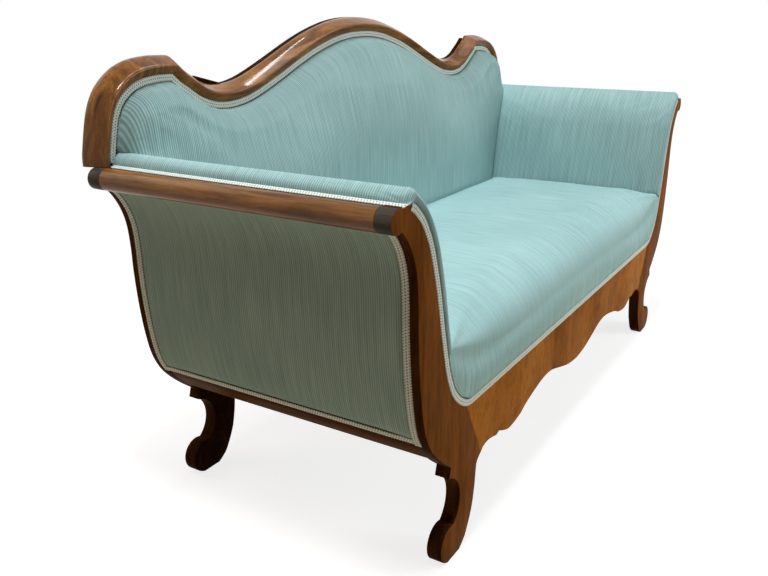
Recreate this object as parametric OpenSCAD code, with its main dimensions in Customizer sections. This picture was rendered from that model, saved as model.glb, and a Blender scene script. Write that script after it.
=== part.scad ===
// Upholstered settee with a serpentine show-wood back frame, roll-top S-shaped
// ends and scroll feet. Millimetres, Z up, origin on the floor under the middle.

/* [Overall] */
// Length over the two arm rolls
sofa_len = 1842; // [1700:1:2000]
// Height of the crest above the floor
back_h = 1005; // [985:1:1040]
// Height of the arm rolls above the floor
arm_h = 743; // [730:1:755]
// Front face of the front posts to rear face of the rear posts
post_depth = 667; // [600:1:740]

/* [End frames] */
// Thickness of each S-shaped post
post_t = 31; // [26:0.5:36]
// Diameter of the arm roll and of the disc on each post
roll_d = 42; // [36:1:46]
// Height of the hip lip above the floor
leg_h = 206; // [196:1:212]
// Radius of the scroll foot
scroll_r = 38; // [34:1:41]
// Radius of the round gap behind the leg
gap_r = 63; // [58:1:66]
// Wood between the hip and the round gap
lip_t = 19; // [16:1:24]
// Scroll centre to the foot of the rail joint
leg_w = 128; // [120:1:134]
// Thickness of the end rail, measured square to its curve
end_rail_t = 28; // [22:1:32]
// Height of the lower edge of the end rail
end_rail_z = 238; // [230:1:245]

/* [Seat frame] */
// Height of the top of the seat rails
rail_top = 319; // [312:1:326]
// Thickness of the front and rear rails
rail_t = 25; // [20:1:29]
// Lowest point of the scalloped apron
apron_low = 160.5; // [150:0.5:168]
// Rise of the scallops above that point
apron_wave = 40; // [30:1:45]
// Depth of the plain rear rail
rear_rail_h = 119; // [90:1:125]
// Width of the inner arm base rails
base_rail_w = 34; // [28:1:36]
// Height of the inner arm base rails
base_rail_h = 34; // [28:1:40]
// Width and height of the webbing battens
batten = 22; // [18:1:24]
// Leg length of the triangular corner blocks
block_leg = 58; // [40:1:70]

/* [Back frame] */
// Width of the moulding in front view
frame_w = 35.5; // [33:0.5:38]
// Depth of the moulding behind its inner arris
frame_d = 38; // [34:1:44]
// How far the moulding swells in front of its arris
frame_swell = 8.5; // [6:0.5:10]
// Width of the tacking lip inside the moulding
lip_w = 16; // [15.5:0.5:20]
// Thickness of the boards behind the moulding
board_t = 20; // [16:1:22]
// Thickness of the backing behind the crest
backing_t = 12; // [8:1:16]
// Width of the uprights in the back
upright_w = 60; // [50:1:75]
// Place of the top board's lower edge, as a share of the rise from the arms to the crest
board_share = 0.075; // [0.055:0.005:0.14]

/* [Upholstery] */
// Height of the crown of the seat
seat_h = 488; // [478:1:500]
// Distance of the seat's sides in from the foot of the arm padding
seat_tuck = 3.6; // [2:0.2:14]
// Depth of the fall at the seat front
seat_front_fall = 100; // [85:1:110]
// Length over which the seat front rolls down
seat_front_roll = 110; // [80:1:140]
// Thickness of the arm padding
arm_pad_t = 20; // [16:0.5:21]
// Rise of the arm padding over the rolls
arm_crown = 23; // [20:1:28]
// Swell of the back padding next to its border
back_roll = 50; // [40:1:60]
// Extra swell of the back padding at its middle
back_crown = 56; // [40:1:64]
// Width of the braid
gimp_w = 15; // [12:0.5:15.5]
// Thickness of the braid
gimp_t = 2.2; // [1.5:0.1:2.6]
// Thickness of the outside covers
cover_t = 3.5; // [2:0.5:5]
// Thickness of the jute hessian
hessian_t = 1.5; // [1:0.1:2]
// Thickness of the jute webbing
strap_t = 2.2; // [1.5:0.1:3]
// Width of the jute webbing
strap_w = 50; // [40:1:55]

/* [Springs] */
// Springs along the seat
springs_long = 5; // [4:1:6]
// Springs from front to back
springs_deep = 3; // [2:1:3]
// Radius of a spring at its ends
spring_r = 42; // [36:1:46]
// Radius of a spring at its waist
waist_r = 28; // [22:1:34]
// Radius of the spring wire
wire_r = 2; // [1.5:0.1:2.4]
// Turns of a spring
spring_turns = 4; // [3:0.5:5]

/* [Fastenings] */
// Radius of the beech dowels
dowel_r = 5; // [4:0.5:5.5]
// Length of a dowel in each piece
dowel_reach = 20; // [15:1:24]
// Radius of the back screws
screw_r = 2.5; // [2:0.25:3]
// Radius of the screw heads
screw_head_r = 5; // [4:0.25:5.5]

/* [Hidden] */

// Running clearances and the overrun of cuts
seat_gap = 0.3;
dowel_play = 0.05;
over = 1;
// How far the front padding stands in front of the posts
front_proud = 3;
// Fineness of round wood
round_fn = 64;

// Main places
roll_r = roll_d / 2;
half = sofa_len / 2 - roll_r;
roll_z = arm_h - roll_r;
rear_y = post_depth - post_t;
frame_place_share = 0.45;
frame_y = rear_y + post_t * frame_place_share;
lip_y = frame_y + front_proud;
board_y = post_depth + seat_gap;
frame_back = frame_y + frame_d;
depth_back = frame_back + seat_gap + backing_t;
mid_y = (depth_back - front_proud) / 2;
line_z = rail_top - gimp_w;
rise = roll_z - line_z;
hessian_z = rail_top + seat_gap;
pad_z = hessian_z + hessian_t + seat_gap;
web_z = end_rail_z - strap_t;

// Colours
walnut = [0.42, 0.22, 0.10];
dark_walnut = [0.20, 0.10, 0.06];
pine = [0.78, 0.62, 0.40];
mint = [0.55, 0.72, 0.70];
mint_shade = [0.40, 0.48, 0.45];
braid = [0.80, 0.90, 0.85];
jute = [0.70, 0.58, 0.38];
steel = [0.55, 0.56, 0.58];
black_cloth = [0.10, 0.10, 0.11];

// Smooth curve through hand-chosen points, with n steps between neighbours
function knot(p, i) = p[max(0, min(len(p) - 1, i))];
function bend(a, b, c, d, t) =
  (2 * b + (c - a) * t + (2 * a - 5 * b + 4 * c - d) * t * t + (3 * b - a - 3 * c + d) * t * t * t) / 2;
function curve(p, n) = concat(
  [for (i = [0 : len(p) - 2]) for (k = [0 : n - 1])
    bend(knot(p, i - 1), p[i], p[i + 1], knot(p, i + 2), k / n)],
  [p[len(p) - 1]]);
// Line moved sideways, to the right of its travel, with mitred corners
function right_of(a, b) = let (d = (b - a) / norm(b - a)) [d[1], -d[0]];
function mitre(p, i) = let (
  first = i == 0,
  last = i == len(p) - 1,
  a = first ? right_of(p[0], p[1]) : right_of(p[i - 1], p[i]),
  b = last ? a : right_of(p[i], p[i + 1])) (a + b) / (1 + a * b);
function shifted(p, d) = [for (i = [0 : len(p) - 1]) p[i] + mitre(p, i) * d];
function backwards(p) = [for (i = [len(p) - 1 : -1 : 0]) p[i]];
function mirrored(p) = [for (i = [len(p) - 1 : -1 : 0]) if (p[i][0] > 0) [-p[i][0], p[i][1]]];
// Width of a line that falls as it runs, at height z
function x_at(p, z) = lookup(z, [for (q = backwards(p)) [q[1], q[0]]]);
// The stretch of a falling line between two heights
function stretch(p, top, bottom) = concat(
  [[x_at(p, top), top]],
  [for (q = p) if (q[1] < top - over && q[1] > bottom + over) q],
  [[x_at(p, bottom), bottom]]);
function mix(a, b, t) = a + (b - a) * t;
function clamp(t) = max(0, min(1, t));
// Quarter-round rise from 0 at the border to 1 where the roll ends
function quarter(u) = sqrt(1 - pow(1 - clamp(u), 2));

// Outer edge of the posts, from the roll down to the hip, as shares of the
// half length and of the rise from the hip to the roll
outer_shares = [
  [0.988, 0.963], [0.968, 0.928], [0.948, 0.870], [0.935, 0.798], [0.930, 0.705],
  [0.929, 0.609], [0.924, 0.473], [0.915, 0.345], [0.901, 0.2345], [0.879, 0.155],
  [0.853, 0.099], [0.820, 0.045], [0.788, 0]];
outer_line = curve([for (s = outer_shares) [s[0] * half, leg_h + s[1] * (roll_z - leg_h)]], 3);

// Edge between show wood and braid on the front, from the roll down to the
// seat rail, as shares of the half length and of the rise above the rail
front_shares = [
  [0.962, 1.025], [0.947, 1.005], [0.923, 0.955], [0.906, 0.900], [0.892, 0.842],
  [0.873, 0.722], [0.858, 0.600], [0.844, 0.462], [0.828, 0.323], [0.819, 0.254],
  [0.807, 0.189], [0.792, 0.129], [0.769, 0.072], [0.737, 0.024], [0.709, 0.003], [0.677, 0]];
front_line = curve([for (s = front_shares) [s[0] * half, line_z + s[1] * rise]], 2);
// How many of its points run beside the arm padding
arm_points = 19;
arm_line = [for (i = [0 : arm_points - 1]) front_line[i]];
// Half width of the seat between the arms
seat_half = shifted(arm_line, gimp_w + arm_pad_t)[arm_points - 1][0] - seat_tuck;

// Leg sizes that follow the hip
lip_x = outer_shares[len(outer_shares) - 1][0] * half;
gap_out_share = 0.35;
gap_x = lip_x + gap_r * gap_out_share;
gap_z = leg_h - lip_t - gap_r;
scroll_in_share = 0.08;
scroll_x = lip_x - scroll_r * scroll_in_share;
joint_x = scroll_x - leg_w;
joint_share = 0.84;
joint_z = leg_h * joint_share;
joint_lean = 0.519;
function joint_at(z) = joint_x + joint_lean * (z - joint_z);
// Inner edge of the leg, from the floor up, as shares of the leg width and
// of the hip height
leg_shares = [
  [0.32, 0], [0.43, 0.044], [0.547, 0.112], [0.727, 0.320], [0.8125, 0.534],
  [0.852, 0.728], [0.89, 0.791], [1, 0.84]];
leg_line = curve([for (s = leg_shares) [scroll_x - s[0] * leg_w, s[1] * leg_h]], 3);

// Inner arris of the back frame, from the stile foot over the ear to the
// middle, as shares of its half width and of the rise above the arms
stile_share = 1.1;
stile_x = half - roll_r * stile_share;
crest_z = back_h - frame_w;
dip_share = 0.3975;
dip_z = mix(arm_h, crest_z, dip_share);
top_board_z = mix(arm_h, crest_z, board_share);
// Heights on the top board, as shares of the way up to the lip at the dips
function board_height(share) = mix(top_board_z, dip_z - lip_w, share);
ear_shares = [
  [1, 0.012], [0.9995, 0.07], [0.995, 0.16], [0.988, 0.28], [0.979, 0.40], [0.966, 0.50],
  [0.948, 0.575], [0.922, 0.643], [0.893, 0.684], [0.86, 0.703], [0.83, 0.709], [0.797, 0.706]];
crest_shares = [
  [0.797, 0.706], [0.773, 0.631], [0.747, 0.569], [0.713, 0.486], [0.6785, 0.433],
  [0.647, 0.406], [0.608, dip_share], [0.567, 0.411], [0.525, 0.444], [0.473, 0.508],
  [0.396, 0.620], [0.314, 0.746], [0.229, 0.861], [0.135, 0.953], [0.06, 0.992], [0, 1]];
function back_points(shares) = [for (s = shares) [s[0] * stile_x, arm_h + s[1] * (crest_z - arm_h)]];
ear_line = concat([[stile_x, arm_h + seat_gap]], curve(back_points(ear_shares), 2));
crest_half = curve(back_points(crest_shares), 2);
crest_start = len(ear_line) - 1;
back_half_line = concat(ear_line, [for (i = [1 : len(crest_half) - 1]) crest_half[i]]);
back_line = concat(back_half_line,
  [for (i = [len(back_half_line) - 2 : -1 : 0]) [-back_half_line[i][0], back_half_line[i][1]]]);

// Everything is drawn with the front of the posts at y = 0 and moved here
module placed() { translate([0, -mid_y, 0]) children(); }
module left_one() { mirror([1, 0, 0]) children(); }
// An outline in x and z, drawn from y0 over a length
module plate(points, y0, length) {
  translate([0, y0 + length, 0]) rotate([90, 0, 0]) linear_extrude(height = length) polygon(points);
}
// A round bar along y
module bar_y(x, z, r, y0, length) {
  translate([x, y0 + length, z]) rotate([90, 0, 0]) cylinder(r = r, h = length, $fn = round_fn);
}
// A round bar along x
module bar_x(y, z, r, x0, length) {
  translate([x0, y, z]) rotate([0, 90, 0]) cylinder(r = r, h = length, $fn = round_fn);
}
module block(low, high) { translate(low) cube(high - low); }

// Dowels of one end, grown by a play for their bores
rail_dowel_shares = [0.3, 0.74];
function rail_dowel_z(s) = mix(joint_z, rail_top, s);
front_dowel_y = rail_t / 2;
rear_dowel_y = post_depth - rail_t / 2;
end_dowel_share = 0.52;
end_dowel_z = mix(end_rail_z, line_z, end_dowel_share);
end_dowel_x = x_at(outer_line, end_dowel_z) - end_rail_t / 2;
base_x = seat_half + base_rail_w / 2;
base_z = rail_top - base_rail_h / 2;
arm_dowel_x = half - roll_r * 2;
arm_dowel_share = 0.05;
arm_dowel_z = roll_z + roll_r * arm_dowel_share;
module rail_dowels(play = 0) {
  for (s = rail_dowel_shares, y = [front_dowel_y, rear_dowel_y])
    bar_x(y, rail_dowel_z(s), dowel_r + play, joint_at(rail_dowel_z(s)) - dowel_reach - play,
      2 * (dowel_reach + play));
}
module cross_dowels(play = 0) {
  for (p = [[end_dowel_x, end_dowel_z], [half, roll_z], [base_x, base_z], [arm_dowel_x, arm_dowel_z]],
    y = [post_t, rear_y])
    bar_y(p[0], p[1], dowel_r + play, y - dowel_reach - play, 2 * (dowel_reach + play));
}

// S-shaped post with its roll disc and scroll foot, for one end
post_top_x = x_at(shifted(front_line, gimp_w), arm_h);
post_inner = [for (q = backwards(shifted(front_line, gimp_w)))
  if (q[0] > joint_at(rail_top) + over && q[1] > rail_top && q[1] < arm_h) q];
// The gap between lip and scroll, and the toe, as shares of the lip's
// thickness and of the scroll's radius
lip_shares = [0.25, 0.84];
toe_share = 0.24;
post_points = concat(
  [[half, roll_z]],
  outer_line,
  [[lip_x + lip_t * lip_shares[0], leg_h - lip_t * lip_shares[1]], [gap_x, gap_z]],
  [[scroll_x, scroll_r], [scroll_x + scroll_r * toe_share, 0]],
  leg_line,
  [[joint_at(rail_top), rail_top]],
  post_inner,
  [[post_top_x, arm_h], [half, arm_h]]);
module post(y0) {
  difference() {
    union() {
      difference() {
        plate(post_points, y0, post_t);
        bar_y(gap_x, gap_z, gap_r, y0 - over, post_t + 2 * over);
      }
      bar_y(scroll_x, scroll_r, scroll_r, y0, post_t);
      bar_y(half, roll_z, roll_r, y0, post_t);
    }
    rail_dowels(dowel_play);
    cross_dowels(dowel_play);
  }
}
module front_post_right() { color(walnut) placed() post(0); }
module front_post_left() { color(walnut) left_one() placed() post(0); }
module rear_post() {
  difference() {
    post(rear_y);
    back_screw_pins(dowel_play);
  }
}
module rear_post_right() { color(dark_walnut) placed() rear_post(); }
module rear_post_left() { color(dark_walnut) left_one() placed() rear_post(); }

// Rails between the two posts of one end
span_y = post_t + seat_gap;
span_len = rear_y - post_t - 2 * seat_gap;
module arm_roll() {
  difference() {
    bar_y(half, roll_z, roll_r, span_y, span_len);
    cross_dowels(dowel_play);
  }
}
module arm_roll_right() { color(walnut) placed() arm_roll(); }
module arm_roll_left() { color(walnut) left_one() placed() arm_roll(); }

cover_lap_share = 0.1;
cover_low = line_z - gimp_w * cover_lap_share;
end_rail_outer = stretch(outer_line, cover_low - seat_gap, end_rail_z);
module end_rail() {
  difference() {
    plate(concat(end_rail_outer, backwards(shifted(end_rail_outer, end_rail_t))), span_y, span_len);
    cross_dowels(dowel_play);
  }
}
module end_rail_right() { color(walnut) placed() end_rail(); }
module end_rail_left() { color(walnut) left_one() placed() end_rail(); }

// The tacking rail beside the roll; its top follows the padding
arm_rail_share = 1.1;
arm_rail_line = shifted([for (i = [1 : 4]) arm_line[i]], gimp_w - hessian_t - seat_gap);
module arm_rail() {
  difference() {
    plate(concat(
      [[half - roll_r - seat_gap, arm_h - seat_gap]],
      arm_rail_line,
      backwards(shifted(arm_rail_line, -roll_r * arm_rail_share)),
      [[half - roll_r - seat_gap, roll_z]]), span_y, span_len);
    cross_dowels(dowel_play);
  }
}
module arm_rail_right() { color(pine) placed() arm_rail(); }
module arm_rail_left() { color(pine) left_one() placed() arm_rail(); }

module arm_base_rail() {
  difference() {
    block([seat_half, span_y, rail_top - base_rail_h], [seat_half + base_rail_w, span_y + span_len, rail_top]);
    cross_dowels(dowel_play);
  }
}
module arm_base_rail_right() { color(pine) placed() arm_base_rail(); }
module arm_base_rail_left() { color(pine) left_one() placed() arm_base_rail(); }

// Scalloped front rail: lower edge from the joint to the middle, as shares
// of the joint's place and of the wave
toe_shares = [[0.981, 0.51], [0.952, 0.59], [0.912, 0.54], [0.869, 0.39]];
lobe_shares = [
  [0.843, 0.48], [0.80, 0.21], [0.744, 0.01], [0.649, 0.16], [0.592, 0.46], [0.491, 0.81],
  [0.40, 1], [0.315, 0.94], [0.216, 0.56], [0.107, 0.16], [0, 0]];
function apron_points(shares) = [for (s = shares) [s[0] * joint_x, apron_low + s[1] * apron_wave]];
apron_half = concat(
  [[joint_x - seat_gap, joint_z]],
  curve(apron_points(toe_shares), 2),
  curve(apron_points(lobe_shares), 3));
module front_rail() {
  color(walnut) placed() difference() {
    plate(concat(
      [[joint_at(rail_top) - seat_gap, rail_top]],
      apron_half,
      [for (i = [len(apron_half) - 2 : -1 : 0]) [-apron_half[i][0], apron_half[i][1]]],
      [[seat_gap - joint_at(rail_top), rail_top]]), 0, rail_t);
    rail_dowels(dowel_play);
    left_one() rail_dowels(dowel_play);
  }
}

// Plain rear rail
screw_shares = [0.3, 0.85];
screw_depth_share = 0.6;
screw_depth = post_t * screw_depth_share;
module back_screw_pins(play = 0) {
  for (s = screw_shares) {
    z = mix(rail_top - rear_rail_h, rail_top, s);
    bar_y(upright_x + upright_w / 4, z, screw_r + play, post_depth - screw_depth, screw_depth + seat_gap + board_t);
    bar_y(upright_x + upright_w / 4, z, screw_head_r + play, board_y + board_t - screw_r, screw_r + play);
  }
}
module rear_rail() {
  low = rail_top - rear_rail_h;
  color(pine) placed() difference() {
    plate([
      [joint_at(rail_top) - seat_gap, rail_top], [joint_at(low) - seat_gap, low],
      [seat_gap - joint_at(low), low], [seat_gap - joint_at(rail_top), rail_top]],
      post_depth - rail_t, rail_t);
    for (m = [0, 1]) mirror([m, 0, 0]) {
      rail_dowels(dowel_play);
      back_screw_pins(dowel_play);
    }
  }
}

// Glue blocks in the four corners of the seat frame
block_share = 0.6;
module corner_block() {
  low = rail_top - base_rail_h;
  translate([0, 0, low]) linear_extrude(height = base_rail_h) polygon([
    [seat_half - seat_gap, span_y], [seat_half - seat_gap, span_y + block_leg],
    [seat_half - seat_gap - block_leg * block_share, span_y]]);
}
module corner_blocks() {
  color(pine) placed() for (m = [0, 1]) mirror([m, 0, 0]) {
    corner_block();
    translate([0, post_depth, 0]) mirror([0, 1, 0]) corner_block();
  }
}

// Battens that carry the webbing, inside the rails
batten_z = end_rail_z;
batten_half = joint_at(batten_z) - 2 * seat_gap;
batten_front = rail_t + seat_gap;
batten_rear = post_depth - rail_t - seat_gap;
module web_battens() {
  color(pine) placed() {
    block([-batten_half, batten_front, batten_z], [batten_half, batten_front + batten, batten_z + batten]);
    block([-batten_half, batten_rear - batten, batten_z], [batten_half, batten_rear, batten_z + batten]);
    for (m = [0, 1]) mirror([m, 0, 0])
      block([batten_half - batten, batten_front + batten + seat_gap, batten_z],
        [batten_half, batten_rear - batten - seat_gap, batten_z + batten]);
  }
}

module frame_dowels() {
  color(pine) placed() for (m = [0, 1]) mirror([m, 0, 0]) {
    rail_dowels();
    cross_dowels();
  }
}

// Section of the back moulding: shares of its width outwards and of its
// swell forwards, from the inner arris to the outer side
swell_shares = [
  [0, 0], [0.14, 0.5], [0.30, 0.86], [0.45, 1], [0.54, 0.72], [0.64, -0.02], [0.76, -1], [0.88, -2.05], [0.97, -3.1]];
moulding = concat(
  [[seat_gap, post_depth], [-lip_w, post_depth], [-lip_w, lip_y], [0, lip_y]],
  [for (s = swell_shares) [s[0] * frame_w, frame_y - s[1] * frame_swell]],
  [[frame_w, frame_back], [seat_gap, frame_back]]);

// A closed solid swept through rings of points
// The end faces are seen whole from the ring's first point, unless they are given as smaller ones
function whole_end(count) = [[for (i = [0 : count - 1]) i]];
function ring_faces(rings, count, ends = undef) = let (end = is_undef(ends) ? whole_end(count) : ends) concat(
  end,
  [for (r = [0 : rings - 2]) for (i = [0 : count - 1]) each let (
    a = r * count + i, b = r * count + (i + 1) % count, c = a + count, d = b + count) [[a, c, b], [b, c, d]]],
  [for (f = end) [for (i = backwards(f)) (rings - 1) * count + i]]);
// The moulding along the back line, between two of its points
module swept_moulding(first, last) {
  count = len(moulding);
  points = [for (i = [first : last]) let (m = mitre(back_line, i)) for (s = moulding)
    [back_line[i][0] + m[0] * s[0], s[1], back_line[i][1] + m[1] * s[0]]];
  polyhedron(points = points, faces = ring_faces(last - first + 1, count));
}
module back_ear_right() { color(walnut) placed() swept_moulding(0, crest_start); }
module back_ear_left() {
  color(walnut) placed() swept_moulding(len(back_line) - 1 - crest_start, len(back_line) - 1);
}
module crest_rail() { color(walnut) placed() swept_moulding(crest_start, len(back_line) - 1 - crest_start); }

// Backing behind the crest, sawn straighter than the moulding at the dips
crest_line = [for (i = [crest_start : len(back_line) - 1 - crest_start]) back_line[i]];
backing_share = 0.2;
dip_place_share = 0.61;
dip_x = dip_place_share * stile_x;
// Corners left high by the saw beside the left dip, as shares of the moulding's width
saw_shares = [[-0.6, 0.3], [-0.6, 0.97], [1.9, 1.62], [2.3, 1.25]];
module crest_backing() {
  y0 = frame_back + seat_gap;
  color(dark_walnut) placed() union() {
    plate(concat(shifted(crest_line, frame_w), backwards(shifted(crest_line, frame_w * backing_share))), y0, backing_t);
    left_one() plate([for (s = saw_shares) [dip_x + s[0] * frame_w, dip_z + s[1] * frame_w]], y0, backing_t);
  }
}

// Boards of the back, behind the lip of the moulding
board_line = shifted([for (q = back_line) if (q[1] > top_board_z + seat_gap) q], -seat_gap);
board_half = board_line[0][0];
upright_x = seat_half - upright_w;
module back_top_board() {
  color(pine) placed()
    plate(concat([[board_half, top_board_z]], board_line, [[-board_half, top_board_z]]), board_y, board_t);
}
module back_uprights() {
  low = rail_top - rear_rail_h;
  color(pine) placed() for (m = [0, 1]) mirror([m, 0, 0]) difference() {
    block([upright_x - upright_w / 2, board_y, low],
      [upright_x + upright_w / 2, board_y + board_t, top_board_z - seat_gap]);
    back_screw_pins(dowel_play);
  }
}
bottom_board_z = rail_top + base_rail_h;
module back_bottom_board() {
  reach = upright_x - upright_w / 2 - seat_gap;
  color(pine) placed() block([-reach, board_y, bottom_board_z], [reach, board_y + board_t, bottom_board_z + upright_w]);
}
module back_screws() { color(steel) placed() for (m = [0, 1]) mirror([m, 0, 0]) back_screw_pins(); }

// Straps under the seat: lengthwise ones below the crosswise ones
straps_long = 5;
straps_deep = 11;
module seat_webbing() {
  low_y = batten_front + batten;
  high_y = batten_rear - batten;
  color(jute) placed() {
    for (i = [0 : straps_deep - 1]) {
      x = mix(-batten_half + strap_w, batten_half - strap_w, i / (straps_deep - 1));
      block([x - strap_w / 2, batten_front, web_z], [x + strap_w / 2, batten_rear, web_z + strap_t - seat_gap / 3]);
    }
    for (i = [0 : straps_long - 1]) {
      y = mix(low_y + strap_w, high_y - strap_w, i / (straps_long - 1));
      block([-batten_half, y - strap_w / 2, web_z - strap_t], [batten_half, y + strap_w / 2, web_z - seat_gap / 3]);
    }
  }
}

// Waisted coil springs between webbing and hessian, each one tube
ring_steps = 8;
wire_sides = 4;
spring_low = web_z + strap_t + wire_r;
spring_high = hessian_z - wire_r - seat_gap;
spring_rings = spring_turns * ring_steps;
function coil_r(t) = mix(waist_r, spring_r, pow(2 * t - 1, 2));
function coil_z(t) = mix(spring_low, spring_high, t);
module spring() {
  points = [for (k = [0 : spring_rings]) for (j = [0 : wire_sides - 1]) let (
    t = k / spring_rings, a = 360 * k / ring_steps, b = 360 * j / wire_sides,
    r = coil_r(t) + wire_r * cos(b)) [r * cos(a), r * sin(a), coil_z(t) + wire_r * sin(b)]];
  polyhedron(points = points, faces = [for (f = ring_faces(spring_rings + 1, wire_sides)) backwards(f)]);
}
// Room for the outer springs, as shares of their radius
spring_side_share = 1.2;
spring_row_share = 1.5;
module seat_springs() {
  reach_x = batten_half - batten - spring_side_share * spring_r;
  low_y = batten_front + batten + spring_row_share * spring_r;
  high_y = batten_rear - batten - spring_row_share * spring_r;
  color(steel) placed() for (i = [0 : springs_long - 1], j = [0 : springs_deep - 1])
    translate([mix(-reach_x, reach_x, i / (springs_long - 1)), mix(low_y, high_y, j / (springs_deep - 1)), 0])
      spring();
}
// Least gap between neighbouring turns, measured from centre line to centre line
spring_gap = min([for (k = [0 : spring_rings - ring_steps]) let (
  t = k / spring_rings, u = (k + ring_steps) / spring_rings)
  norm([coil_r(t) - coil_r(u), coil_z(t) - coil_z(u)]) - 2 * wire_r]);
echo(spring_gap = spring_gap);

hessian_lap_share = 0.3;
module seat_hessian() {
  reach = seat_half + base_rail_w * hessian_lap_share;
  neck = joint_at(rail_top) - seat_gap;
  color(jute) placed() translate([0, 0, hessian_z]) linear_extrude(height = hessian_t) polygon([
    [-neck, front_proud], [neck, front_proud], [neck, span_y], [reach, span_y],
    [reach, span_y + span_len], [neck, span_y + span_len], [neck, post_depth - front_proud],
    [-neck, post_depth - front_proud], [-neck, span_y + span_len], [-reach, span_y + span_len],
    [-reach, span_y], [-neck, span_y]]);
}

module dust_cover() {
  z = web_z - strap_t - seat_gap;
  reach = joint_at(z - hessian_t) - 2 * seat_gap;
  color(black_cloth) placed()
    block([-reach, batten_front, z - hessian_t], [reach, batten_rear, z]);
}

// Inner edge of the posts, which all padding keeps clear of
wall_line = [for (q = backwards(shifted(front_line, gimp_w + seat_gap))) if (q[1] > rail_top + 2 * seat_gap) q];
function wall_x(z) = lookup(z, [for (q = wall_line) [q[1], q[0]]]);
function wall_z(x) = lookup(x, wall_line);

// Back padding
pad_line = shifted(back_half_line, -lip_w - seat_gap);
pad_top_table = [for (q = backwards([for (i = [1 : len(pad_line) - 1]) pad_line[i]])) [q[0], q[1]]];
function pad_top(x) = lookup(abs(x), pad_top_table);
pad_front = frame_y + front_proud / 2;
pad_back = post_depth - 2 * (hessian_t + seat_gap) - seat_gap;
back_spread_share = 1.06;
back_spread = half * back_spread_share;
back_roll_len = 45;
back_rise_len = 260;
slope_step = 4;
function pad_slope(x) = (pad_top(x) - pad_top(abs(x) - slope_step)) / slope_step;
function border_dist(x, z) =
  min((pad_top(x) - z) / sqrt(1 + pow(pad_slope(x), 2)), pad_half - abs(x) + slope_step);
function back_swell(x) = back_roll + back_crown * (1 - pow(x / back_spread, 2));
function pad_depth(x, z) = back_roll * quarter(border_dist(x, z) / back_roll_len)
  + back_crown * (1 - pow(x / back_spread, 2)) * sin(90 * clamp((pad_top(x) - z) / back_rise_len));

// Arm padding: its inner face, and the crown over the roll
arm_face = shifted(arm_line, gimp_w + arm_pad_t);
arm_skirt_x = seat_half + seat_gap;
crown_shares = [[1.27, 0.03], [1.28, 0.57], [1.62, 0.89], [2.05, 1]];
function crown_points() = [for (s = crown_shares) [half - s[0] * roll_r, arm_h + seat_gap + s[1] * arm_crown]];
// Height of the arm padding under the back padding at width x
pad_ease = 5 * seat_gap;
arm_side = shifted(arm_line, gimp_w + arm_pad_t + pad_ease);
arm_top_table = concat(
  [for (q = backwards(arm_side)) [q[0], q[1]]],
  [for (q = backwards(crown_points())) if (q[0] > arm_side[0][0] + over && q[1] > arm_h + arm_crown / 2)
    [q[0], q[1] + 2 * pad_ease]]);
function arm_top(x) = lookup(abs(x), arm_top_table);

back_rows_shares = [0, 0.2, 0.4, 0.56, 0.69, 0.79, 0.87, 0.93, 0.97, 1];
// The padding ends beside the ears where its border stands this high above the arms
ear_rest = 8;
clear_line = [for (q = pad_line) if (q[1] > arm_top(q[0]) + ear_rest) q];
pad_half = clear_line[0][0];
// Beside the ears, where the border is steep, only every other point starts a column
ear_steep = 4;
half_xs = [for (i = [len(clear_line) - 1 : -1 : 0]) if (i >= ear_steep || i % 2 == 0) clear_line[i][0]];
back_xs = concat([for (i = [len(half_xs) - 1 : -1 : 1]) -half_xs[i]], half_xs);
skirt_edge = arm_skirt_x - 2 * seat_gap;
function pad_low(x) = abs(x) < skirt_edge ? max(pad_z, wall_z(abs(x)) + seat_gap) : arm_top(abs(x));
module back_pad() {
  rows = len(back_rows_shares);
  columns = len(back_xs);
  rings = [for (x = back_xs) concat(
    [[x, pad_back, pad_low(x)]],
    [for (s = back_rows_shares) let (z = mix(pad_low(x), pad_top(x), s)) [x, pad_front - pad_depth(x, z), z]],
    [[x, pad_back, pad_top(x)]])];
  color(mint) placed()
    polyhedron(points = [for (r = rings) each r], faces = [for (f = ring_faces(columns, rows + 2)) backwards(f)]);
}

web_top_share = 0.88;
hessian_ear_share = 0.22;
strap_pitch_share = 2.6;
side_straps = 4;
module back_webbing() {
  y = post_depth - hessian_t - seat_gap;
  low = bottom_board_z;
  high = board_height(web_top_share);
  color(jute) placed() for (i = [-side_straps : side_straps]) {
    x = i * strap_w * strap_pitch_share;
    block([x - strap_w / 2, y, low], [x + strap_w / 2, y + hessian_t, high]);
  }
}
module back_hessian() {
  y = pad_back + seat_gap;
  ear_z = board_height(hessian_ear_share);
  line = [for (q = shifted(pad_line, -seat_gap)) if (q[1] > ear_z) q];
  reach = upright_x + upright_w / 2;
  color(jute) placed() plate(concat(
    [[reach, bottom_board_z], [reach, ear_z]], line, mirrored(line), [[-reach, ear_z], [-reach, bottom_board_z]]),
    y, hessian_t);
}
// Corners of the outside cover: at the side, at the shoulder and at the top
cover_side_share = 0.2;
cover_shoulder_share = 0.78;
cover_top_share = 1.15;
module outside_back_cover() {
  reach = upright_x + upright_w / 2;
  side = board_half - batten;
  half_cover = [
    [reach, rail_top - rear_rail_h + batten], [side, board_height(cover_side_share)],
    [side, board_height(cover_shoulder_share)], [reach, board_height(cover_top_share)]];
  color(mint_shade) placed()
    plate(concat(half_cover, mirrored(half_cover)), board_y + board_t + seat_gap, cover_t / 2);
}

// Seat padding: a crowned grid with walls down to the hessian
seat_side_fall = 14;
seat_back_fall = 14;
seat_edge_fall = 12;
seat_edge_roll = 30;
seat_corner_roll = 8;
seat_corner_share = 0.75;
seat_level_share = 0.38;
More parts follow.
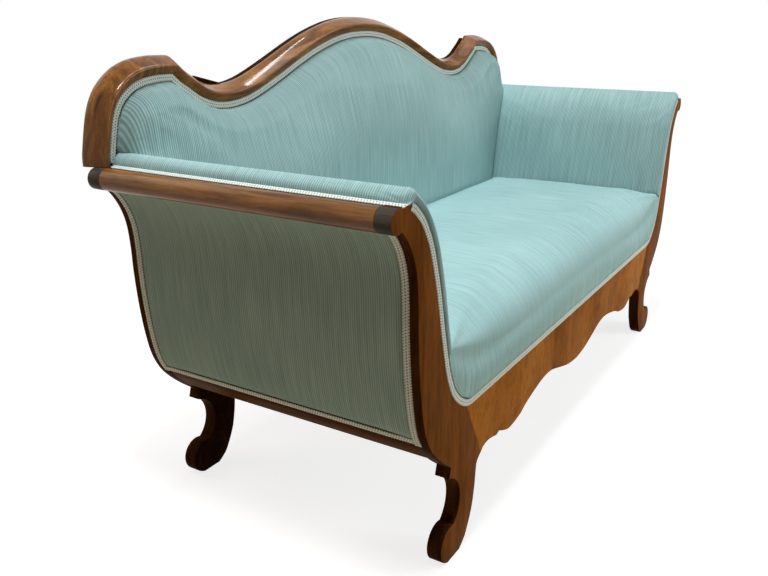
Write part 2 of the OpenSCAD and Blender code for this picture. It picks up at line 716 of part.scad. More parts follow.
// Length along the posts over which a padding steps in or out
step_len = 10 * seat_gap;
function seat_rear(x) = pad_front - back_swell(x) - 3 * seat_gap;
function seat_side(y, z) = let (
  wide = wall_x(z), narrow = min(seat_half, wide),
  t = clamp((y - seat_corner_roll) / (post_t - seat_corner_roll - step_len)))
  mix(wide, narrow, t);
function seat_top(x, y, edge) = let (
  s = min(1, abs(x) / seat_half),
  front_fall = seat_front_fall * (1 - seat_corner_share * pow(s, 4)),
  behind = max(0, y - post_depth * seat_level_share) / (post_depth / 2))
  seat_h - seat_side_fall * s * s - seat_back_fall * behind * behind
    - front_fall * (1 - quarter((y + front_proud) / seat_front_roll))
    - seat_edge_fall * (1 - quarter(edge / seat_edge_roll));
seat_x_shares = [
  -1, -0.985, -0.96, -0.9, -0.78, -0.6, -0.4, -0.2, 0, 0.2, 0.4, 0.6, 0.78, 0.9, 0.96, 0.985, 1];
seat_post_share = (post_t - seat_gap + front_proud) / (seat_rear(seat_half) + front_proud);
seat_y_shares = [0, 0.012, 0.035, seat_post_share, 0.09, 0.14, 0.22, 0.34, 0.48, 0.62, 0.76, 0.88, 0.96, 1];
wall_shares = [0, 0.3, 0.62, 0.85];
// A point of the crown, and a point of the wall below a border point
function seat_place(u, v, z) = let (
  x = u * seat_side(mix(-front_proud, seat_rear(u * seat_half), v), z)) [x, mix(-front_proud, seat_rear(x), v)];
function seat_point(u, v) = let (
  p = seat_place(u, v, seat_h - seat_corner_share * seat_front_fall),
  edge = min((1 - abs(u)) * seat_half, seat_rear(p[0]) - p[1]),
  z = seat_top(p[0], p[1], edge),
  q = seat_place(u, v, z)) [q[0], q[1], z];
function seat_wall(u, v, t) = let (
  top = seat_point(u, v), z = mix(pad_z, top[2], t), q = seat_place(u, v, z)) [q[0], q[1], z];
seat_w = len(seat_x_shares);
seat_d = len(seat_y_shares);
seat_border = concat(
  [for (i = [0 : seat_w - 1]) [i, 0]],
  [for (j = [1 : seat_d - 1]) [seat_w - 1, j]],
  [for (i = [seat_w - 2 : -1 : 0]) [i, seat_d - 1]],
  [for (j = [seat_d - 2 : -1 : 1]) [0, j]]);
module seat_cushion() {
  n = len(seat_border);
  levels = len(wall_shares);
  grid = levels * n;
  // Number of the point below border place k at a wall level; the top level is the grid's own border
  function at(level, k) = let (b = seat_border[k % n])
    level < levels ? level * n + k % n : grid + b[1] * seat_w + b[0];
  walls = [for (r = [0 : levels - 1]) for (k = [0 : n - 1]) each [
    [at(r, k), at(r, k + 1), at(r + 1, k)], [at(r, k + 1), at(r + 1, k + 1), at(r + 1, k)]]];
  crown = [for (j = [0 : seat_d - 2]) for (i = [0 : seat_w - 2]) each let (
    a = grid + j * seat_w + i, b = a + 1, c = a + seat_w, d = c + 1) [[a, b, c], [b, d, c]]];
  middle = grid + seat_d * seat_w;
  bottom = [for (k = [0 : n - 1]) [middle, at(0, k + 1), at(0, k)]];
  color(mint) placed() polyhedron(
    points = concat(
      [for (t = wall_shares) for (b = seat_border) seat_wall(seat_x_shares[b[0]], seat_y_shares[b[1]], t)],
      [for (v = seat_y_shares) for (u = seat_x_shares) seat_point(u, v)],
      [[0, post_depth / 2, pad_z]]),
    faces = [for (f = concat(bottom, walls, crown)) backwards(f)]);
}

// Arm padding, swept from its front border to the back frame
station_rounds = [
  [-1, 0.5, 0.5], [-0.55, 0.22, 0.12], [0, 0.09, 0], [1, 0.02, 0], [3, 0, 0]];
arm_bend_share = 0.42;
arm_bend_z = mix(line_z, roll_z, arm_bend_share);
// Beside the front post the foot of the padding ends above the seat, and
// beside the rear post it narrows to a wedge along the post
rear_foot_z = wall_z(arm_skirt_x + step_len);
function beside_front(y) = y < post_t + seat_gap / 2;
function beside_rear(y) = y > rear_y - seat_gap / 2;
function foot_z(y) = seat_top(seat_half, min(y, post_t), seat_edge_roll) + 2 * seat_gap;
function foot_height(z, y) = z > arm_bend_z || !(beside_front(y) || beside_rear(y)) ? z
  : mix(beside_rear(y) ? rear_foot_z : foot_z(y), arm_bend_z, (z - pad_z) / (arm_bend_z - pad_z));
// Height at which the padding steps out over the base rail
shelf_share = 2.2;
shelf_z = pad_z + base_rail_h * shelf_share;
arm_skirt = [[arm_skirt_x, shelf_z], [arm_skirt_x, pad_z]];
function arm_place(q, y, outer) = let (z = foot_height(q[1], y))
  [q[1] > arm_bend_z || !(beside_front(y) || beside_rear(y)) ? q[0]
    : outer ? wall_x(z) : beside_rear(y) ? x_at(concat(arm_face, arm_skirt), z) : q[0], y, z];
// The loop of one station: crown, inner face, skirt, tail and outer face;
// towards the front border it draws in around a point given in shares
eye_shares = [2.05, 0.6];
rear_round_share = 0.2;
function arm_loop(y, inset, outset) = let (
  eye = [half - roll_r * eye_shares[0], arm_h + arm_crown * eye_shares[1]],
  crown = [for (q = crown_points()) mix(q, eye, inset)],
  face = shifted(arm_line, gimp_w + arm_pad_t * (1 - inset)),
  skirt_x = arm_skirt_x + inset * arm_pad_t,
  skirt = [[skirt_x, shelf_z], [skirt_x, pad_z]],
  tail = [[arm_skirt_x + base_rail_w, pad_z], [arm_skirt_x + base_rail_w, shelf_z]],
  rear = backwards(shifted(arm_line, gimp_w + seat_gap + outset * arm_pad_t * rear_round_share)))
  concat(
    [for (q = concat(crown, face, skirt)) arm_place(q, y, false)],
    [for (q = concat(tail, rear)) arm_place(q, y, true)]);
arm_rear = lip_y - 2 * seat_gap - gimp_t;
arm_stations = concat(
  [for (s = station_rounds) arm_loop(s[0] * front_proud, s[1], s[2])],
  [for (y = [post_t + seat_gap / 3, post_t + seat_gap, rear_y - seat_gap, rear_y - seat_gap / 3, arm_rear])
    arm_loop(y, 0, 0)]);
module arm_pad() {
  count = len(arm_stations[0]);
  crown = len(crown_shares);
  // The end faces: one over the crown, then a ladder down between the inner and the outer face
  ends = concat(
    [[count - 1, for (i = [0 : crown]) i]],
    [for (i = [crown : count / 2 + crown / 2 - 2]) [i, i + 1, count + crown - 2 - i, count + crown - 1 - i]]);
  polyhedron(points = [for (r = arm_stations) each r],
    faces = [for (f = ring_faces(len(arm_stations), count, ends)) backwards(f)]);
}
module arm_pad_right() { color(mint) placed() arm_pad(); }
module arm_pad_left() { color(mint) left_one() placed() arm_pad(); }

module arm_hessian() {
  line = [for (i = [1 : len(arm_line) - 1]) arm_line[i]];
  skirt = arm_skirt_x + base_rail_w + seat_gap;
  plate(concat(
    shifted(line, gimp_w), [[skirt, shelf_z], [skirt, base_z]],
    [[skirt + hessian_t, base_z], [skirt + hessian_t, shelf_z]],
    backwards(shifted(line, gimp_w - hessian_t))), span_y, span_len);
}
module arm_hessian_right() { color(jute) placed() arm_hessian(); }
module arm_hessian_left() { color(jute) left_one() placed() arm_hessian(); }

// Outside end cover between the posts, flush with their edges
end_cover_share = 0.95;
cover_line = stretch(outer_line, roll_z - roll_r * end_cover_share, cover_low);
module outside_arm_cover() {
  plate(concat(cover_line, backwards(shifted(cover_line, cover_t))), span_y, span_len);
}
module outside_arm_cover_right() { color(mint_shade) placed() outside_arm_cover(); }
module outside_arm_cover_left() { color(mint_shade) left_one() placed() outside_arm_cover(); }

// Braids
braid_y = -seat_gap - gimp_t;
full_front_line = concat(front_line, mirrored(front_line));
module gimp_front() {
  color(braid) placed()
    plate(concat(full_front_line, backwards(shifted(full_front_line, gimp_w))), braid_y, gimp_t);
}
gimp_back_line = shifted([for (q = back_line) if (q[1] > arm_h + gimp_t) q], -seat_gap);
module gimp_back() {
  color(braid) placed()
    plate(concat(gimp_back_line, backwards(shifted(gimp_back_line, -gimp_w))), lip_y - seat_gap - gimp_t, gimp_t);
}
module gimp_arm() {
  block([half - crown_shares[0][0] * roll_r + seat_gap, braid_y, arm_h + seat_gap],
    [half - crown_shares[0][0] * roll_r + seat_gap + gimp_w, frame_y - frame_swell - seat_gap, arm_h + seat_gap + gimp_t]);
}
module gimp_arm_right() { color(braid) placed() gimp_arm(); }
module gimp_arm_left() { color(braid) left_one() placed() gimp_arm(); }
end_braid_share = 1.1;
end_braid_line = stretch(outer_line, roll_z - roll_r, line_z - gimp_w * end_braid_share);
foot_braid_line = stretch(outer_line, line_z, line_z - gimp_w * end_braid_share);
module braid_strip(line, y0, length) {
  plate(concat(shifted(line, -seat_gap), backwards(shifted(line, -seat_gap - gimp_t))), y0, length);
}
module gimp_end() {
  front_y = post_t - gimp_w;
  braid_strip(end_braid_line, front_y, gimp_w + seat_gap);
  braid_strip(end_braid_line, rear_y - seat_gap, gimp_w + seat_gap);
  braid_strip(foot_braid_line, post_t, rear_y - post_t);
}
module gimp_end_right() { color(braid) placed() gimp_end(); }
module gimp_end_left() { color(braid) left_one() placed() gimp_end(); }

front_post_left();
front_post_right();
rear_post_left();
rear_post_right();
arm_roll_left();
arm_roll_right();
end_rail_left();
end_rail_right();
arm_rail_left();
arm_rail_right();
arm_base_rail_left();
arm_base_rail_right();
front_rail();
rear_rail();
corner_blocks();
web_battens();
frame_dowels();
crest_rail();
back_ear_left();
back_ear_right();
crest_backing();
back_top_board();
back_uprights();
back_bottom_board();
back_screws();
seat_webbing();
seat_springs();
seat_hessian();
seat_cushion();
dust_cover();
back_webbing();
back_hessian();
back_pad();
outside_back_cover();
arm_hessian_left();
arm_hessian_right();
arm_pad_left();
arm_pad_right();
outside_arm_cover_left();
outside_arm_cover_right();
gimp_front();
gimp_back();
gimp_arm_left();
gimp_arm_right();
gimp_end_left();
gimp_end_right();
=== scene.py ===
"""Visual model of an upholstered settee with a show-wood frame.

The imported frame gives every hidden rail, board, spring and strap. Here the
show wood is made again with eased edges, the padding and covers as taut ribbed
cloth, and the braid woven along every edge of the cloth.
"""

from __future__ import annotations

import logging
import math
from dataclasses import dataclass, field
from enum import Enum
from typing import Optional, Sequence

import bmesh
import bpy
import numpy as np
from mathutils import Matrix, Quaternion, Vector


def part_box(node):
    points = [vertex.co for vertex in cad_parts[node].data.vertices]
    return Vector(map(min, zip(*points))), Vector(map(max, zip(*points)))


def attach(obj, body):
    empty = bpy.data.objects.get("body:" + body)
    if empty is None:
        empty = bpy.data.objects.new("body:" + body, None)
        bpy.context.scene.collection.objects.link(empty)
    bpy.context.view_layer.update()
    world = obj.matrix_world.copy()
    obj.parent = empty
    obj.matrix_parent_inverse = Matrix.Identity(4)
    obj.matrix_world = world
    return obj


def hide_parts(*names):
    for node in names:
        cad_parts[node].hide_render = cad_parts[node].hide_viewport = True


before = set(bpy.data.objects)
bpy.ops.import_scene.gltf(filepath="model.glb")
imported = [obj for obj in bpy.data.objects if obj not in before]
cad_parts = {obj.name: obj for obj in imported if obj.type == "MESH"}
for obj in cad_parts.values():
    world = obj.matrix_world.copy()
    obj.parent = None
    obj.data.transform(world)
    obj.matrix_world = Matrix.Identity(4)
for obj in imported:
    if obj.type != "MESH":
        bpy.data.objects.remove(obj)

LOG = logging.getLogger("settee")
MM = 0.001
Line = np.ndarray
Colour = tuple[float, float, float]


class Side(Enum):
    """An end of the settee, as seen from the front."""

    LEFT = -1
    RIGHT = 1

    @property
    def word(self) -> str:
        """The side's name as it is used in node names."""
        return self.name.lower()


class Grain(Enum):
    """The direction that the wood's grain runs in."""

    LONG = (1.0, 12.0, 12.0)
    BURR = (4.5, 4.5, 2.2)
    DEEP = (12.0, 1.0, 12.0)
    UPRIGHT = (12.0, 12.0, 1.0)


# Curves


def curve(points: Sequence[Sequence[float]], steps: int) -> Line:
    """Runs a smooth curve through chosen points.

    Args:
        points: The points of the curve, in order.
        steps: How many steps lie between two neighbours.

    Returns:
        The points of the curve, the given ones among them.
    """
    p = np.asarray(points, float)
    padded = np.vstack([p[:1], p, p[-1:]])
    t = np.arange(steps)[:, None] / steps
    out = []
    for i in range(len(p) - 1):
        a, b, c, d = padded[i:i + 4]
        part = 2 * b + (c - a) * t + (2 * a - 5 * b + 4 * c - d) * t**2 + (3 * b - a - 3 * c + d) * t**3
        out.append(part / 2)
    out.append(p[-1:])
    return np.vstack(out)


def right_of(step: np.ndarray) -> np.ndarray:
    """Gives the unit vectors to the right of steps in a plane."""
    way = step / np.maximum(np.linalg.norm(step, axis=1), 1e-9)[:, None]
    return np.stack([way[:, 1], -way[:, 0]], axis=1)


def mitres(line: Line) -> Line:
    """Gives the sideways direction at each point of a line, to the right of its travel.

    Args:
        line: Points in a plane.

    Returns:
        One vector a point, longer at corners so that moved lines stay parallel.
    """
    side = right_of(np.diff(line, axis=0))
    a = np.vstack([side[:1], side])
    b = np.vstack([side, side[-1:]])
    return (a + b) / (1 + np.sum(a * b, axis=1))[:, None]


def shifted(line: Line, distance: float) -> Line:
    """Moves a line sideways, to the right of its travel."""
    return line + mitres(line) * distance


def inset(loop: Line, distance: float) -> Line:
    """Draws a closed clockwise outline in on all sides.

    Args:
        loop: The outline's points, the first not repeated.
        distance: How far it is drawn in.

    Returns:
        The smaller outline, point for point.
    """
    least = 0.35
    side = right_of(np.roll(loop, -1, axis=0) - loop)
    before = np.roll(side, 1, axis=0)
    corner = (side + before) / np.maximum(1 + np.sum(side * before, axis=1), least)[:, None]
    return loop + corner * distance


def mirrored(line: Line) -> Line:
    """Turns a line over to the other side of x = 0 and runs it backwards."""
    return line[::-1] * np.array([-1.0, 1.0])


def arc(centre: Sequence[float], radius: float, start: float, end: float, count: int) -> Line:
    """Gives points on an arc, both ends included.

    Args:
        centre: The arc's centre.
        radius: The arc's radius.
        start: The first angle in degrees.
        end: The last angle in degrees.
        count: How many points.

    Returns:
        The points.
    """
    angle = np.radians(np.linspace(start, end, count))
    return np.stack([centre[0] + radius * np.cos(angle), centre[1] + radius * np.sin(angle)], axis=1)


def angle_of(point: Sequence[float], centre: Sequence[float]) -> float:
    """The direction of a point from a centre, in degrees."""
    return math.degrees(math.atan2(point[1] - centre[1], point[0] - centre[0]))


def lengths(line: Line) -> np.ndarray:
    """The distance along a line of each of its points."""
    return np.concatenate([[0.0], np.cumsum(np.linalg.norm(np.diff(line, axis=0), axis=1))])


def along_line(at: np.ndarray, line: Line) -> Line:
    """The points of a line at distances along it."""
    along = lengths(line)
    return np.stack([np.interp(at, along, line[:, k]) for k in range(line.shape[1])], axis=1)


def resampled(line: Line, spacing: float) -> Line:
    """Puts points on a line at even distances, both ends included."""
    whole = lengths(line)[-1]
    count = max(2, int(round(whole / spacing)) + 1)
    return along_line(np.linspace(0, whole, count), line)


def stretch(line: Line, top: float, bottom: float) -> Line:
    """The part of a falling line between two heights."""
    up = line[::-1]
    ends = [[float(np.interp(z, up[:, 1], up[:, 0])), z] for z in (top, bottom)]
    middle = line[(line[:, 1] < top - 0.5) & (line[:, 1] > bottom + 0.5)]
    return np.vstack([ends[:1], middle, ends[1:]])


def quarter(u: np.ndarray) -> np.ndarray:
    """Quarter-round rise from 0 at a border to 1 where the roll ends."""
    return np.sqrt(np.clip(1 - (1 - np.clip(u, 0, 1)) ** 2, 0, 1))


def smooth(u: np.ndarray) -> np.ndarray:
    """Smooth step from 0 to 1."""
    t = np.clip(u, 0, 1)
    return t * t * (3 - 2 * t)


# Sizes


@dataclass(frozen=True)
class Sizes:
    """Sizes of the settee in millimetres, with the front of the posts at y = 0."""

    length: float = 1842.0
    back_h: float = 1005.0
    arm_h: float = 743.0
    post_depth: float = 667.0
    post_t: float = 31.0
    roll_r: float = 21.0
    leg_h: float = 206.0
    scroll_r: float = 38.0
    gap_r: float = 63.0
    lip_t: float = 19.0
    leg_w: float = 128.0
    end_rail_t: float = 28.0
    end_rail_z: float = 238.0
    rail_top: float = 319.0
    rail_t: float = 25.0
    apron_low: float = 160.5
    apron_wave: float = 40.0
    frame_w: float = 35.5
    frame_d: float = 38.0
    frame_swell: float = 8.5
    lip_w: float = 16.0
    seat_h: float = 488.0
    seat_half: float = 700.0
    seat_front_fall: float = 100.0
    seat_front_roll: float = 110.0
    arm_pad_t: float = 20.0
    arm_crown: float = 23.0
    back_roll: float = 50.0
    back_crown: float = 56.0
    gimp_w: float = 15.0
    gimp_t: float = 2.2
    cover_t: float = 3.5
    gap: float = 0.3
    front_proud: float = 3.0
    boards_t: float = 12.0

    @property
    def half(self) -> float:
        """Distance of the arm rolls from the middle."""
        return self.length / 2 - self.roll_r

    @property
    def roll_z(self) -> float:
        """Height of the arm rolls' middle."""
        return self.arm_h - self.roll_r

    @property
    def rear_y(self) -> float:
        """Front face of the rear posts."""
        return self.post_depth - self.post_t

    @property
    def frame_y(self) -> float:
        """Depth of the moulding's inner arris."""
        return self.rear_y + self.post_t * 0.45

    @property
    def lip_y(self) -> float:
        """Depth of the tacking lip inside the moulding."""
        return self.frame_y + self.front_proud

    @property
    def frame_back(self) -> float:
        """Depth of the moulding's rear face."""
        return self.frame_y + self.frame_d

    @property
    def mid_y(self) -> float:
        """Depth of the settee's middle, where the frame has y = 0."""
        return (self.frame_back + self.gap + self.boards_t - self.front_proud) / 2

    @property
    def line_z(self) -> float:
        """Height of the lower edge of the front braid."""
        return self.rail_top - self.gimp_w

    @property
    def pad_z(self) -> float:
        """Height of the underside of the padding."""
        return self.rail_top + 2 * self.gap + 1.5

    @property
    def braid_x(self) -> float:
        """Distance of the inner edge of the arm roll's braid from the middle."""
        return self.half - 1.27 * self.roll_r


class Profiles:
    """The outlines that the wood, the padding and the braid share."""

    OUTER = [
        (0.988, 0.963), (0.968, 0.928), (0.948, 0.870), (0.935, 0.798), (0.930, 0.705),
        (0.929, 0.609), (0.924, 0.473), (0.915, 0.345), (0.901, 0.2345), (0.879, 0.155),
        (0.853, 0.099), (0.820, 0.045), (0.788, 0.0)]
    FRONT = [
        (0.962, 1.025), (0.947, 1.005), (0.923, 0.955), (0.906, 0.900), (0.892, 0.842),
        (0.873, 0.722), (0.858, 0.600), (0.844, 0.462), (0.828, 0.323), (0.819, 0.254),
        (0.807, 0.189), (0.792, 0.129), (0.769, 0.072), (0.737, 0.024), (0.709, 0.003), (0.677, 0.0)]
    LEG = [
        (0.32, 0.0), (0.43, 0.044), (0.547, 0.112), (0.727, 0.320), (0.8125, 0.534),
        (0.852, 0.728), (0.89, 0.791), (1.0, 0.84)]
    EAR = [
        (1.0, 0.0013), (0.9995, 0.07), (0.995, 0.16), (0.988, 0.28), (0.979, 0.40), (0.966, 0.50),
        (0.948, 0.575), (0.922, 0.643), (0.893, 0.684), (0.86, 0.703), (0.83, 0.709), (0.797, 0.706)]
    CREST = [
        (0.797, 0.706), (0.773, 0.631), (0.747, 0.569), (0.713, 0.486), (0.6785, 0.433),
        (0.647, 0.406), (0.608, 0.3975), (0.567, 0.411), (0.525, 0.444), (0.473, 0.508),
        (0.396, 0.620), (0.314, 0.746), (0.229, 0.861), (0.135, 0.953), (0.06, 0.992), (0.0, 1.0)]
    TOE = [(0.981, 0.51), (0.952, 0.59), (0.912, 0.54), (0.869, 0.39)]
    LOBES = [
        (0.843, 0.48), (0.80, 0.21), (0.744, 0.01), (0.649, 0.16), (0.592, 0.46), (0.491, 0.81),
        (0.40, 1.0), (0.315, 0.94), (0.216, 0.56), (0.107, 0.16), (0.0, 0.0)]
    SWELL = [
        (0.0, 0.0), (0.14, 0.5), (0.30, 0.86), (0.45, 1.0), (0.54, 0.72), (0.64, -0.02),
        (0.76, -1.0), (0.88, -2.05), (0.97, -3.1)]
    FINE = 6
    ARM_KNOTS = 10
    GAP_OUT_SHARE = 0.35
    SCROLL_IN_SHARE = 0.08
    JOINT_SHARE = 0.84
    JOINT_LEAN = 0.519
    STILE_SHARE = 1.1
    TOE_SHARE = 0.24
    DROP_OUT_SHARE = 0.25
    DROP_SHARE = 0.84
    DROP_PLAY = 1.4

    def __init__(self, sizes: Sizes) -> None:
        """Works the outlines out from the sizes.

        Args:
            sizes: The settee's sizes.
        """
        s = sizes
        self.sizes = s
        rise = s.roll_z - s.line_z
        outer = [(x * s.half, s.leg_h + z * (s.roll_z - s.leg_h)) for x, z in self.OUTER]
        front = [(x * s.half, s.line_z + z * rise) for x, z in self.FRONT]
        self.outer_line = curve(outer, self.FINE)
        self.front_line = curve(front, self.FINE)
        self.arm_line = self.front_line[: (self.ARM_KNOTS - 1) * self.FINE + 1]
        self.lip_x = self.OUTER[-1][0] * s.half
        self.gap_c = (self.lip_x + s.gap_r * self.GAP_OUT_SHARE, s.leg_h - s.lip_t - s.gap_r)
        self.scroll_x = self.lip_x - s.scroll_r * self.SCROLL_IN_SHARE
        self.joint_x = self.scroll_x - s.leg_w
        self.joint_z = s.leg_h * self.JOINT_SHARE
        leg = [(self.scroll_x - x * s.leg_w, z * s.leg_h) for x, z in self.LEG]
        self.leg_line = curve(leg, self.FINE)
        self.stile_x = s.half - s.roll_r * self.STILE_SHARE
        self.crest_z = s.back_h - s.frame_w
        self.ear_line = curve(self._back_points(self.EAR), self.FINE)
        crest_half = curve(self._back_points(self.CREST), self.FINE)
        back_half = np.vstack([self.ear_line, crest_half[1:]])
        self.back_line = np.vstack([back_half, mirrored(back_half)[1:]])
        wall = shifted(self.front_line, s.gimp_w + s.gap)[::-1]
        self.wall = wall[wall[:, 1] > s.rail_top + 2 * s.gap]
        self.pad_line = shifted(back_half, -s.lip_w - s.gap)

    def _back_points(self, shares: Sequence[tuple[float, float]]) -> list[tuple[float, float]]:
        """Turns shares of the back frame into points."""
        low = self.sizes.arm_h
        return [(x * self.stile_x, low + z * (self.crest_z - low)) for x, z in shares]

    def _apron_points(self, shares: Sequence[tuple[float, float]]) -> list[tuple[float, float]]:
        """Turns shares of the front rail's lower edge into points."""
        s = self.sizes
        return [(x * self.joint_x, s.apron_low + z * s.apron_wave) for x, z in shares]

    def joint_at(self, z: float) -> float:
        """Place of the slanted joint between a post and the front rail at a height."""
        return self.joint_x + self.JOINT_LEAN * (z - self.joint_z)

    def wall_x(self, z: np.ndarray) -> np.ndarray:
        """Inner edge of the posts at a height."""
        return np.interp(z, self.wall[:, 1], self.wall[:, 0])

    def wall_z(self, x: np.ndarray) -> np.ndarray:
        """Height of the inner edge of the posts at a width."""
        return np.interp(x, self.wall[:, 0], self.wall[:, 1])

    def post(self) -> Line:
        """Outline of a post with its roll disc and scroll foot, right-hand end."""
        s = self.sizes
        roll = (s.half, s.roll_z)
        foot = (self.scroll_x, s.scroll_r)
        disc = arc(roll, s.roll_r, 90.0, angle_of(self.outer_line[0], roll), 28)
        drop = (self.lip_x + s.lip_t * self.DROP_OUT_SHARE, s.leg_h - s.lip_t * self.DROP_SHARE)
        drop_x = drop[0] + self.DROP_PLAY
        top_of_gap = self.gap_c[1] + math.sqrt(s.gap_r**2 - (drop_x - self.gap_c[0]) ** 2)
        gap_start = angle_of((drop_x, top_of_gap), self.gap_c)
        between = math.dist(self.gap_c, foot)
        a = (s.gap_r**2 - s.scroll_r**2 + between**2) / (2 * between)
        h = math.sqrt(s.gap_r**2 - a**2)
        ux, uz = (foot[0] - self.gap_c[0]) / between, (foot[1] - self.gap_c[1]) / between
        meet = (self.gap_c[0] + a * ux + h * uz, self.gap_c[1] + a * uz - h * ux)
        gap = arc(self.gap_c, s.gap_r, gap_start, angle_of(meet, self.gap_c) % 360, 30)
        toe = s.scroll_r * self.TOE_SHARE
        flat = (self.scroll_x + toe, 0.0)
        low = angle_of((flat[0], s.scroll_r - math.sqrt(s.scroll_r**2 - toe**2)), foot)
        scroll = arc(foot, s.scroll_r, angle_of(meet, foot), low, 34)
        edge = shifted(self.front_line, s.gimp_w)
        inner = edge[::-1]
        keep = (inner[:, 0] > self.joint_at(s.rail_top) + 1) & (inner[:, 1] > s.rail_top)
        inner = inner[keep & (inner[:, 1] < s.arm_h)]
        return np.vstack([
            disc, self.outer_line[1:], [drop], gap, scroll[1:], [flat], self.leg_line,
            [(self.joint_at(s.rail_top), s.rail_top)], inner, [(float(edge[0, 0]), s.arm_h)]])

    def apron(self) -> Line:
        """Outline of the scalloped front rail."""
        s = self.sizes
        toe = curve(self._apron_points(self.TOE), 3)
        lobes = curve(self._apron_points(self.LOBES), self.FINE)
        half = np.vstack([[(self.joint_x - s.gap, self.joint_z)], toe, lobes])
        top = self.joint_at(s.rail_top) - s.gap
        return np.vstack([[(top, s.rail_top)], half, mirrored(half)[1:], [(-top, s.rail_top)]])


SIZES = Sizes()
PROFILES = Profiles(SIZES)


# Mesh making


def put(name: str, data: bpy.types.ID) -> bpy.types.Object:
    """Puts a mesh, a lamp or the camera into the scene."""
    obj = bpy.data.objects.new(name, data)
    bpy.context.scene.collection.objects.link(obj)
    return obj


def upright(line: Line, y: float | np.ndarray, side: Side = Side.RIGHT) -> np.ndarray:
    """Stands a line in x and z up in space.

    Args:
        line: The line, for the right-hand end.
        y: Its depth, or the depth of each of its points.
        side: The end that it is for.

    Returns:
        One row a point.
    """
    return np.stack([line[:, 0] * side.value, np.broadcast_to(y, len(line)), line[:, 1]], axis=1)


def grid_faces(rows: int, columns: int, closed: bool = False) -> list[tuple[int, ...]]:
    """Faces of a grid of vertices that is stored row by row.

    Args:
        rows: How many rows.
        columns: How many vertices a row.
        closed: Whether each row is a loop.

    Returns:
        The faces.
    """
    faces = []
    for r in range(rows - 1):
        for c in range(columns if closed else columns - 1):
            here, beside = r * columns + c, r * columns + (c + 1) % columns
            faces.append((here, beside, beside + columns, here + columns))
    return faces


def tube_faces(rows: int, columns: int) -> list[tuple[int, ...]]:
    """Faces of a tube of rings, with one more face over each end."""
    last = (rows - 1) * columns
    ends = [tuple(range(columns)), tuple(range(last + columns - 1, last - 1, -1))]
    return grid_faces(rows, columns, closed=True) + ends


def rim_of(rows: int, columns: int) -> list[tuple[int, int]]:
    """Row and column of each vertex on the border of a grid, once round."""
    return ([(0, c) for c in range(columns)] + [(r, columns - 1) for r in range(1, rows)]
            + [(rows - 1, c) for c in range(columns - 2, -1, -1)]
            + [(r, 0) for r in range(rows - 2, 0, -1)])


def build_mesh(name: str, points: np.ndarray, faces: Sequence[Sequence[int]],
               uv: Optional[np.ndarray] = None) -> bpy.types.Object:
    """Makes a smooth-shaded closed piece, with its faces turned outwards.

    Args:
        name: The object's name.
        points: One row a vertex, in millimetres from the front posts.
        faces: Vertex numbers of each face.
        uv: Cloth coordinates in millimetres, one row a vertex.

    Returns:
        The object, linked to the scene.
    """
    mesh = bpy.data.meshes.new(name)
    places = (np.asarray(points, float) - [0.0, SIZES.mid_y, 0.0]) * MM
    mesh.from_pydata(places.tolist(), [], [list(map(int, f)) for f in faces])
    mesh.update()
    if uv is not None:
        layer = mesh.uv_layers.new(name="cloth")
        index = np.zeros(len(mesh.loops), dtype=np.int32)
        mesh.loops.foreach_get("vertex_index", index)
        layer.data.foreach_set("uv", np.asarray(uv * MM, np.float32)[index].ravel())
    mesh.polygons.foreach_set("use_smooth", [True] * len(mesh.polygons))
    work = bmesh.new()
    work.from_mesh(mesh)
    bmesh.ops.recalc_face_normals(work, faces=work.faces)
    work.to_mesh(mesh)
    work.free()
    return put(name, mesh)


def lofted(name: str, rings: Sequence[np.ndarray], crisp: float = 32.0) -> bpy.types.Object:
    """Makes a solid from rings of points.

    Args:
        name: The piece's name.
        rings: Its sections, in order.
        crisp: Angle in degrees over which edges stay crisp.

    Returns:
        The piece.
    """
    obj = build_mesh(name, np.vstack(rings), tube_faces(len(rings), len(rings[0])))
    obj.data.set_sharp_from_angle(angle=math.radians(crisp))
    return obj


def plate(name: str, outline: Line, y0: float, depth: float, side: Side = Side.RIGHT,
          ease: float = 1.0) -> bpy.types.Object:
    """Saws a flat board to an outline and eases its edges.

    Args:
        name: The piece's name.
        outline: Outline in x and z, for the right-hand end.
        y0: Its front face.
        depth: Its thickness.
        side: The end that it is for.
        ease: How much its arrises are rounded.

    Returns:
        The board.
    """
    turns = np.radians([90.0, 60.0, 30.0, 0.0])
    front = [(y0 + ease * (1 - math.sin(a)), ease * (1 - math.cos(a))) for a in turns]
    levels = front + [(2 * y0 + depth - y, drawn) for y, drawn in reversed(front)]
    return lofted(name, [upright(inset(outline, drawn), y, side) for y, drawn in levels])


# Finishes


